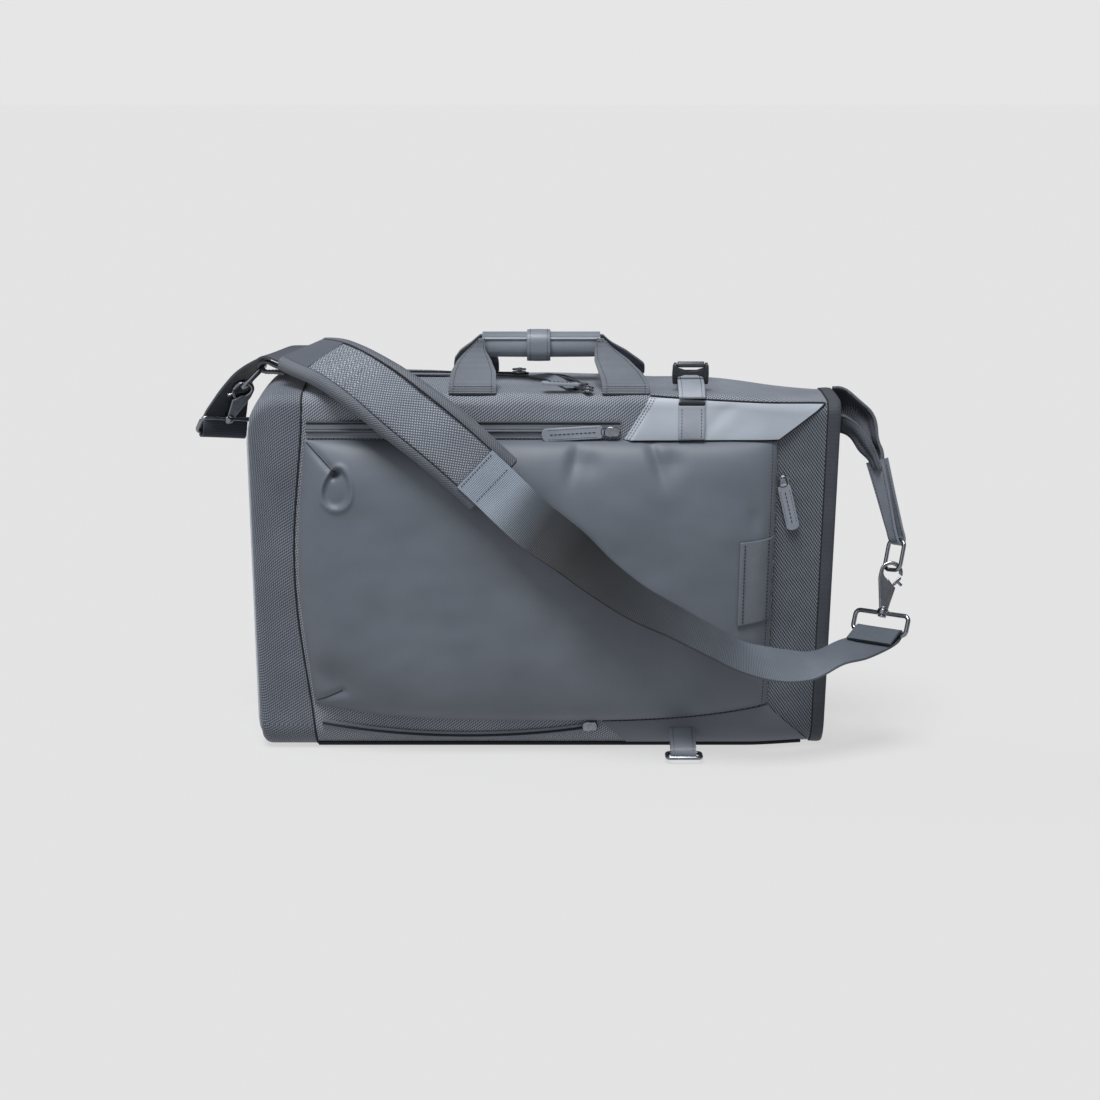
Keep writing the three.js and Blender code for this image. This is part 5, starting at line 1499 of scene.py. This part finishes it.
rear_rows += [(place, -way, width) for place, way, width in
              reversed(loop_rows(left, (0.25, 0.25, 0.93), (0.5, -0.6, 0.3), 10))]

# %% Webbing
front_stations = stations_along(front_rows, 210)
strap_front = flat_strap("strap_front_webbing", front_stations, 12, WEB_WALL - 0.2)
dress(strap_front, strap_webbing, ["strap_front"], angle=60)
rear_stations = stations_along(rear_rows, 110)
strap_rear = flat_strap("strap_rear_webbing", rear_stations, 12, WEB_WALL - 0.2)
dress(strap_rear, shaded_rear_webbing, ["strap_rear"], angle=60)
loop_ends = []
for stations, face, spots in ((front_stations, 1.0, (0.012, 0.03)), (rear_stations, -1.0, (0.965, 0.985))):
    for v in spots:
        loop_ends.append([on_strap(stations, lerp(0.06, 0.94, t), v, face) for t in steps(20)])
sew("strap_end_stitches", loop_ends, 2.4, 1.7, 0.34)
end_rows_on_pad = [[on_strap(front_stations, lerp(0.07, 0.93, t), v, side) for t in steps(20)]
                   for v in (0.955, 0.995) for side in (-1.1, 1.1)]
sew("strap_on_pad_stitches", end_rows_on_pad, 2.4, 1.7, 0.34)


def stations_length(stations):
    return sum((b[0] - a[0]).length for a, b in zip(stations, stations[1:]))


print("webbing made, strap", round(stations_length(front_stations), 1), "mm")

# %% The pad
pad_stations = stations_along(pad_rows, 90)
# the section's outline is its lower half from edge to edge and the same half turned round
PAD_HALF = [(-1, 0), (-0.94, -0.62), (-0.82, -0.92), (-0.5, -1.02), (0, -1.06), (0.5, -1.02),
            (0.82, -0.92), (0.94, -0.62)]
PAD_SECTION = PAD_HALF + [(-x, -y) for x, y in PAD_HALF]


def pad_place(x, y, v, grow=0.0):
    """A place on the pad's section: x across and y through it, each from -1 to 1."""
    return on_strap(pad_stations, 0.5 + x * 0.5, v, y * (PAD_WALL / 2 - 0.5 + grow))


def pad_ring(v, size):
    return [pad_place(x * size, y * size, v) for x, y in PAD_SECTION]


rows = [pad_ring(0.0, 0.8)] + [pad_ring(lerp(0.006, 0.994, t), 0.97) for t in steps(70)]
rows.append(pad_ring(1.0, 0.8))
pad = loft_piece("shoulder_pad_foam", rows, closed_end=pad_place(0, 0, 1.0))
face_outwards(pad, fill=True)
padding(pad, 4, 4.0, 1.4)


def pad_flat(p):
    spot = min(range(0, len(pad_stations), 2), key=lambda k: (pad_stations[k][0] - p).length_squared)
    middle, across = pad_stations[spot][:2]
    after, before = min(len(pad_stations) - 1, spot + 1), max(0, spot - 1)
    along = (pad_stations[after][0] - pad_stations[before][0]).normalized()
    return ((p - middle).dot(across) * MM, (spot * PAD_STEP + (p - middle).dot(along)) * MM)


PAD_STEP = stations_length(pad_stations) / (len(pad_stations) - 1)
lay_uv(pad, pad_flat)
dress(pad, pad_mesh, ["shoulder_pad"], angle=80)

# %% Tape, seams and patch of the pad
TAPE_PROFILE = [(0.76, 1.12), (0.84, 1.14), (0.93, 0.98), (1.0, 0.6), (1.025, 0.0), (1.0, -0.6),
                (0.93, -0.98), (0.84, -1.14), (0.76, -1.12)]


def tape_point(sign, u, v):
    span = u * (len(TAPE_PROFILE) - 1)
    k = min(len(TAPE_PROFILE) - 2, int(span))
    (x0, y0), (x1, y1) = TAPE_PROFILE[k], TAPE_PROFILE[k + 1]
    return pad_place(sign * lerp(x0, x1, span - k), lerp(y0, y1, span - k), v, 0.9)


for name, sign in (("pad_tape_near", 1), ("pad_tape_far", -1)):
    tape = cloth_grid(name, 16, 90, lambda u, v, s=sign: tape_point(s, u, lerp(0.002, 0.998, v)))
    apply_modifier(tape, "SOLIDIFY", thickness=0.7 * MM, offset=0)
    dress(tape, edge_twill, angle=70)
    for face, y in (("face", 1.1), ("back", -1.1)):
        line = [pad_place(sign * 0.745, y, lerp(0.004, 0.996, t), 0.5) for t in steps(90)]
        seam(name + "_seam_" + face, line, 0.62)


PATCH_FROM, LOW_SEAM = 0.875, 0.055


def patch_place(side, u, v):
    return pad_place(lerp(-0.75, 0.75, u), side * 1.12, lerp(PATCH_FROM, 1.0, v), 0.75)


for face, side in (("face", 1), ("back", -1)):
    smooth_patch = cloth_grid("pad_smooth_patch_" + face, 16, 16, lambda u, v, s=side: patch_place(s, u, v))
    apply_modifier(smooth_patch, "SOLIDIFY", thickness=0.3 * MM, offset=0)
    dress(smooth_patch, pad_tape_cloth, angle=70)
for face, side in (("face", 1), ("back", -1)):
    line = [pad_place(lerp(-0.76, 0.76, t), side * 1.16, LOW_SEAM, 0.7) for t in steps(16)]
    seam("pad_end_seam_low_" + face, line, 0.6)
for name, v in (("pad_end_low", 0.0), ("pad_end_high", 1.0)):
    ring_line = [pad_place(x * 0.95, y * 0.9, v) for x, y in PAD_SECTION]
    dress(tube(name, ring_line, 1.3, closed=True), edge_twill)
print("pad:", len(pad.data.polygons), "faces")

# %% [markdown]
# ## The handle
# The grip is a short padded bar. Its upper face is a strip of twill between two lines of piping, a leather
# keeper goes round its middle, and four webbing legs splay from its ends to the top of the bag.

# %% Grip
GRIP_LENGTH, GRIP_HEIGHT, GRIP_DEPTH = 94, 19, 22
GRIP_TOP = BODY_HEIGHT + 41
GRIP_MIDDLE = GRIP_TOP - GRIP_HEIGHT / 2
KEEPER_MIDDLE, KEEPER_WIDTH = -2, 18


def grip_ring(x, size, extra=0.0):
    loop = round_loop(GRIP_DEPTH + extra, GRIP_HEIGHT + extra, GRIP_HEIGHT * 0.36 + extra / 2, 8)
    return [Vector((x, y * size, GRIP_MIDDLE + z * size)) for y, z in loop]


half = GRIP_LENGTH / 2 - 1.5
rows = [grip_ring(-half, 0.86, -1.6), grip_ring(-half + 1.2, 0.97, -1.6)]
rows += [grip_ring(lerp(2 - half, half - 2, t), 1.0, -1.6) for t in steps(30)]
rows += [grip_ring(half - 1.2, 0.97, -1.6), grip_ring(half, 0.86, -1.6)]
grip = loft_piece("grip_foam", rows, closed_end=Vector((half, 0, GRIP_MIDDLE)))
face_outwards(grip, fill=True)
padding(grip, 3, 4.0, 0.8)
lay_uv(grip, lambda p: (p.x * MM, (p.z + p.y) * MM))
dress(grip, grip_cloth, ["handle_grip"], angle=80)


def grip_top_point(u, v, lift=0.0):
    """Across the grip's upper face by u, from edge to edge, and along it by v."""
    y = lerp(-GRIP_DEPTH / 2, GRIP_DEPTH / 2, u)
    drop = arc_inset(GRIP_DEPTH / 2 - abs(y), GRIP_HEIGHT * 0.36)
    return Vector((lerp(-half, half, v), y * 0.985, GRIP_TOP - 0.9 - drop * 0.9 + lift))


grip_strip = cloth_grid("grip_top_strip", 14, 60, lambda u, v: grip_top_point(lerp(0.06, 0.94, u), v, 0.9))
apply_modifier(grip_strip, "SOLIDIFY", thickness=0.9 * MM, offset=0)
dress(grip_strip, grip_twill, angle=70)
for name, u in (("grip_piping_front", 0.045), ("grip_piping_rear", 0.955)):
    dress(tube(name, [grip_top_point(u, t, 0.5) for t in steps(40)], 0.9), piping_cloth)

# %% Keeper
keeper_rows = [grip_ring(KEEPER_MIDDLE + KEEPER_WIDTH * (t - 0.5), 1.0, 1.6 + 0.5 * math.sin(math.pi * t))
               for t in steps(8)]
keeper = loft_piece("keeper_band", keeper_rows)
apply_modifier(keeper, "SOLIDIFY", thickness=1.4 * MM, offset=1)
round_edges(keeper, 0.35)
dress(keeper, tab_leather, ["handle_keeper"], angle=60)
ring_rows = [grip_ring(KEEPER_MIDDLE + side * (KEEPER_WIDTH / 2 - 2.4), 1.0, 4.6) for side in (-1, 1)]
sew("keeper_stitches", ring_rows, 2.5, 1.7, 0.3)

# %% Legs
LEG_WIDTH, LEG_TOP_WIDTH = 36, 5
LEG_FEET = {"left": -52, "right": 64}
# share of the height, share of the way to the grip's end, share of the way in to the grip, width
LEG_PATH = {
    "left": ((0.38, 0.08, 0.42, 34), (0.58, 0.14, 0.66, 26), (0.8, 0.42, 0.9, 12), (1, 1, 1, LEG_TOP_WIDTH)),
    "right": ((0.36, 0.2, 0.42, 33), (0.6, 0.56, 0.68, 26), (0.82, 0.86, 0.9, 13), (1, 1, 1, LEG_TOP_WIDTH)),
}


def leg_rows(side, row):
    foot_x = LEG_FEET[side]
    y = -FRONT_DEPTH + 5 if row == "front" else back_at(foot_x + LEG_WIDTH / 2) - 10
    sign = 1 if y > 0 else -1
    top_x = (1 if foot_x > 0 else -1) * (GRIP_LENGTH / 2 - LEG_TOP_WIDTH / 2 + 1)
    grip_y = sign * (GRIP_DEPTH / 2 + GAP + WEB_WALL / 2)
    foot = max(top_skin(foot_x + k * LEG_WIDTH / 2, y).z for k in (-1, 1)) + 1.3
    across = (1, 0, 0)
    rows = [(Vector((foot_x, y, foot)), across, LEG_WIDTH),
            (Vector((foot_x, y * 0.95, foot + 6)), across, LEG_WIDTH)]
    for rise, to_top, inward, width in LEG_PATH[side]:
        depth, height = lerp(y, grip_y * 1.08, inward), lerp(foot, GRIP_TOP - 3, rise)
        rows.append((Vector((lerp(foot_x, top_x, to_top), depth, height)), across, width))
    return rows


for side in ("left", "right"):
    for row in ("front", "rear"):
        name = row + "_" + side + "_leg"
        stations = stations_along(leg_rows(side, row), 44, level=True)
        leg = flat_strap(name, stations, 12, WEB_WALL - 0.2)
        dress(leg, handle_webbing, ["handle_leg_" + row + "_" + side], angle=60)
        lift = 1.0 if on_strap(stations, 0.5, 0.5, 1).y < on_strap(stations, 0.5, 0.5, -1).y else -1.0
        lift = lift if row == "front" else -lift
        seams = [[on_strap(stations, u, t, lift) for t in steps(40)] for u in (0.1, 0.9)]
        for v in (0.16, 0.93):
            seams.append([on_strap(stations, lerp(0.1, 0.9, t), v, lift) for t in steps(16)])
        sew(name + "_stitches", seams, 2.5, 1.7, 0.32)
        # painted shadow: a dark cord just under the leg's foot, where shade falls
        foot_shadow_line = [on_strap(stations, lerp(0.02, 0.98, t), 0.0) - Vector((0, 0, 0.9)) for t in steps(12)]
        seam(name + "_foot", foot_shadow_line, 1.0)
print("handle made")

# %% [markdown]
# ## Closure strap, buckle and lower tab
# A leather strap comes over the back, through a roller buckle, and is sewn down over the pale facing. Low on
# the front a second leather strip is folded round a wire ring, which lies on the ground before the bag.

# %% Closure strap
CLOSURE_X, CLOSURE_WIDTH, CLOSURE_RISE = 113.5, 20, 13
BUCKLE_HEIGHT = 20
BUCKLE_GAP = BUCKLE_HEIGHT / 2 - WIRE - 2 * GAP - WEB_WALL / 2
strap_front_y = -front_at(CLOSURE_X) - FACING_WALL - 4 * GAP - WEB_WALL / 2


def over_top(y, lift):
    return Vector((CLOSURE_X, y, top_skin(CLOSURE_X, y).z + lift))


CLOSURE_PLACES = [
    Vector((CLOSURE_X, strap_front_y - 1.2, top_at(CLOSURE_X) - 1)), over_top(strap_front_y + 7, 7),
    over_top(strap_front_y + 20, CLOSURE_RISE - BUCKLE_GAP),
    over_top(strap_front_y + 42, CLOSURE_RISE - BUCKLE_GAP), over_top(strap_front_y + 75, 6),
    over_top(back_at(CLOSURE_X) - 12, WEB_WALL / 2 + 2 * GAP)]
closure_stations = stations_along([(place, (1, 0, 0), CLOSURE_WIDTH) for place in CLOSURE_PLACES], 70)
closure = flat_strap("closure_strap_leather", closure_stations, 8, WEB_WALL - 0.1)
round_edges(closure, 0.4)
dress(closure, strap_leather, ["closure_strap"], angle=60)
seams = [[on_strap(closure_stations, u, t, side) for t in steps(70)]
         for u in (0.13, 0.87) for side in (-1.0, 1.0)]
sew("closure_stitches", seams, 2.5, 1.7, 0.32)


def closure_facing_point(u, v, lift=0.0):
    x, z = CLOSURE_X + CLOSURE_WIDTH * (u - 0.5), lerp(POCKET_TOP + 1.5, top_at(CLOSURE_X) - 5.5, v)
    up = (z - POCKET_TOP - 0.5) / (BODY_HEIGHT - 2 - POCKET_TOP)
    near, far = lerp(UPPER_LEFT, UPPER_LEFT + 19, up), lerp(POCKET_RIGHT, RIM_START - 3, up)
    spot = upper_facing_point((CLOSURE_X - near) / (far - near), up, 2.3 + lift)
    return Vector((front_skin(x, z).x, spot.y, spot.z))


facing_strip = cloth_grid("closure_facing_leather", 10, 26, closure_facing_point)
thicken(facing_strip, 1.8, round_rim=0.4)
dress(facing_strip, strap_leather, ["closure_facing"], angle=60)
seams = [[closure_facing_point(u, lerp(0.03, 0.97, t), 0.1) for t in steps(24)] for u in (0.13, 0.87)]
sew("closure_facing_stitches", seams, 2.5, 1.7, 0.32)
seam("closure_fold_shadow", [closure_facing_point(t, 1.06, -0.6) for t in steps(10)], 1.0)

# %% Buckle
buckle_y = -front_at(CLOSURE_X) + 19
buckle_place = placing(over_top(buckle_y, CLOSURE_RISE), (1, 0, 0), (0, -0.35, 0.94))
CHEEK = [(-1.8, -7.6), (-1.0, -8.4), (1.0, -8.4), (1.8, -7.6), (2.1, 0), (1.8, 6.4), (0.8, 8.8),
         (-0.8, 8.8), (-1.8, 6.4), (-2.1, 0)]
lengthwise = Matrix.Rotation(math.pi / 2, 4, "Y")


def on_buckle(x, y, z):
    return buckle_place @ Matrix.Translation(Vector((x, y, z)))


cheeks = [plate("buckle_cheek", CHEEK, 4.2, 0.9, on_buckle(x, 0, 0)) for x in (-11.8, 11.8)]
low_bar = pin("buckle_low_bar", 1.6, -11.5, 11.5, on_buckle(0, 0, -7.0) @ lengthwise, 0.3)
roller = pin("buckle_roller", 2.3, -10.2, 10.2, on_buckle(0, 0.4, 7.6) @ lengthwise, 0.7)
BOW_TIE = [(-10.4, -4.0), (-4.5, -1.9), (4.5, -1.9), (10.4, -4.0), (10.4, 4.0), (4.5, 1.9), (-4.5, 1.9),
           (-10.4, 4.0)]
bow_tie = plate("buckle_bow_tie", BOW_TIE, 2.6, 0.7, on_buckle(0, -0.6, 1.4))
buckle = joined("roller_buckle", *cheeks, low_bar, roller, bow_tie)
dress(buckle, dark_metal, ["buckle"], angle=40)

# %% Lower tab and ring
TAB_X, LOW_RING_WIDTH, LOW_RING_HEIGHT = 109, 29, 16
low_bar_y, low_bar_z = -FRONT_DEPTH - 26, WIRE / 2 + WEB_WALL + GAP + 0.8
low_bend = WIRE / 2 + GAP + WEB_WALL / 2 + 0.3
LOW_TAB_SPOTS = [(-FRONT_DEPTH - 4, POCKET_FOOT - 6), (-FRONT_DEPTH - 12, POCKET_FOOT - 10),
                 (low_bar_y - low_bend * 0.3, low_bar_z + low_bend + 1), (low_bar_y - low_bend, low_bar_z),
                 (low_bar_y, low_bar_z - low_bend), (low_bar_y + low_bend + 4, low_bar_z - low_bend + 2),
                 (-FRONT_DEPTH - 8, POCKET_FOOT - 16)]
LOW_TAB_WIDTH = LOW_RING_WIDTH - WIRE - 6.6
low_tab_rows = [(Vector((TAB_X, y, z)), (1, 0, 0), LOW_TAB_WIDTH) for y, z in LOW_TAB_SPOTS]
low_tab_stations = stations_along(low_tab_rows, 60)
low_tab = flat_strap("lower_leather_tab", low_tab_stations, 8, WEB_WALL - 0.2)
dress(low_tab, tab_leather, ["lower_tab"], angle=60)
seams = [[on_strap(low_tab_stations, u, lerp(0.02, 0.42, t), side) for t in steps(20)]
         for u in (0.12, 0.88) for side in (-1.0, 1.0)]
sew("lower_tab_stitches", seams, 2.5, 1.7, 0.3)
low_ring_place = placing((TAB_X, low_bar_y - (LOW_RING_HEIGHT - WIRE) / 2, low_bar_z), (1, 0, 0), (0, 1, 0))
low_ring = wire_ring("lower_wire_ring", LOW_RING_WIDTH, LOW_RING_HEIGHT, 3, WIRE, low_ring_place)
dress(low_ring, gunmetal, ["lower_ring"], angle=40)
print("closure and lower tab made")

# %% [markdown]
# ## Zip sliders and pullers
# One slider is modelled for each zip end from the same parts: two waisted plates on a core, and a bail. Three
# of them carry leather pullers, which are flat strips with rounded ends and a dark stitched slot.

# %% Sliders
SLIDER_LENGTH = 11
SLIDER_OUTLINE = [(0.6, -2.6), (4.0, -3.9), (6.5, -3.2), (9.6, -3.4), (11, -1.8), (11, 1.8), (9.6, 3.4),
                  (6.5, 3.2), (4.0, 3.9), (0.6, 2.6), (0, 0)]


def zip_slider(name, at, along, out, node_name):
    """A slider at a place, pointing along, with its upper side facing out."""
    along, out = Vector(along).normalized(), Vector(out).normalized()
    side = out.cross(along)
    place = placing(at, along, side)
    low = plate(name + "_foot", SLIDER_OUTLINE, 1.2, 0.3, place @ Matrix.Translation((0, -1.2, 0)))
    high = plate(name + "_cap", SLIDER_OUTLINE, 1.4, 0.45, place @ Matrix.Translation((0, 1.1, 0)))
    through_plates = place @ Matrix.Translation((6, 0, 0)) @ Matrix.Rotation(math.pi / 2, 4, "X")
    core = pin(name + "_core", 1.7, -2.4, 2.4, through_plates, 0)
    bail_line = [place @ Vector((lerp(2.6, 8.6, t), 1.6 + 2.0 * math.sin(math.pi * t), 0)) for t in steps(12)]
    bail = tube(name + "_bail", bail_line, 0.75)
    slider = joined(name, low, high, core, bail)
    dress(slider, gunmetal, [node_name], angle=40)


ON_ZIP, ON_TAPE = 1.6 + 2 * GAP, 1.2 + 0.5 + 2 * GAP
zip_z = POCKET_TOP + 6.5
front_x, low_x = ZIP_RIGHT - SLIDER_LENGTH - 1, 0.25 * POCKET_RIGHT - SLIDER_LENGTH - 1
side_x, side_z = POCKET_RIGHT + 6, 0.78 * BODY_HEIGHT - SLIDER_LENGTH
front_at_zip = front_skin(front_x, zip_z, ON_ZIP + 2)
zip_slider("front_zip_slider", front_at_zip, (1, 0, 0), (0, -1, 0), "front_slider")
low_at_zip = front_skin(low_x, POCKET_FOOT - 4.5, ON_ZIP + 2)
zip_slider("lower_zip_slider", low_at_zip, (1, 0, 0.1), (0, -1, 0), "lower_slider")
zip_slider("side_zip_slider", front_skin(side_x, side_z, 2.9), (0, 0, 1), (0, -1, 0), "side_slider")
top_a = top_skin(SLIDER_A[0] - SLIDER_LENGTH - 2, SLIDER_A[1], ON_TAPE + 2)
zip_slider("top_slider_left", top_a, (1, 0, 0), (0, 0, 1), "top_slider_a")
top_b = top_skin(SLIDER_B[0] + 1, SLIDER_B[1] + 1, 3)
zip_slider("top_slider_right", top_b, (0.5, -0.86, 0), (0, 0, 1), "top_slider_b")

# %% Pullers
PULLER_WIDTH, PULLER_WALL = 10, 2.2


def puller(name, at, along, out, length, node_name):
    along, out = Vector(along).normalized(), Vector(out).normalized()
    side = out.cross(along).normalized()
    place = placing(at, along, side)
    end = PULLER_WIDTH / 2 - 1.6
    outline = arc(length - end, 0, end, -math.pi / 2, math.pi / 2, 12)
    outline += arc(end, 0, end, math.pi / 2, 1.5 * math.pi, 12)
    outline = [(x, z * PULLER_WIDTH / 2 / end) for x, z in outline]
    strip = plate(name, outline, PULLER_WALL, 0.5, place)
    dress(strip, puller_leather, [node_name], angle=40)
    facing = 1 if (place.to_3x3() @ Vector((0, 1, 0))).dot(out) > 0 else -1
    middle = [place @ Vector((lerp(6, length - 6, t), facing * (PULLER_WALL / 2 + 0.02), 0))
              for t in steps(20)]
    dress(stitches(name + "_slot", [middle], 3.2, 2.6, 0.42), dark_seam)
    edge_rows = [[place @ Vector((lerp(5, length - 5, t), facing * PULLER_WALL / 2, k * 3.6))
                  for t in steps(20)] for k in (-1, 1)]
    sew(name + "_stitches", edge_rows, 2.2, 1.5, 0.24)
    eye = wire_ring(name + "_eye", 8.5, 7.5, 2.4, 1.3, place @ Matrix.Translation((-1.6, facing * 0.6, 0)))
    dress(eye, dark_metal, angle=40)


front_hang = front_skin(front_x, zip_z, ON_ZIP + 2 * GAP + 1.1) + Vector((-0.5, 0, 0))
puller("front_zip_puller", front_hang, (-1, 0, -0.06), (0, -1, 0), 47, "front_puller")
puller("side_zip_puller", front_skin(side_x - 1, side_z + 5, 4.6), (0.24, 0.07, -0.97), (0, -1, 0), 37,
       "side_puller")
puller("top_zip_puller", top_skin(SLIDER_B[0] - 1, SLIDER_B[1] + 1, ON_TAPE + 3.4), (-1, -0.12, 0.06),
       (0, 0, 1), 30, "top_puller")
print("sliders and pullers made")
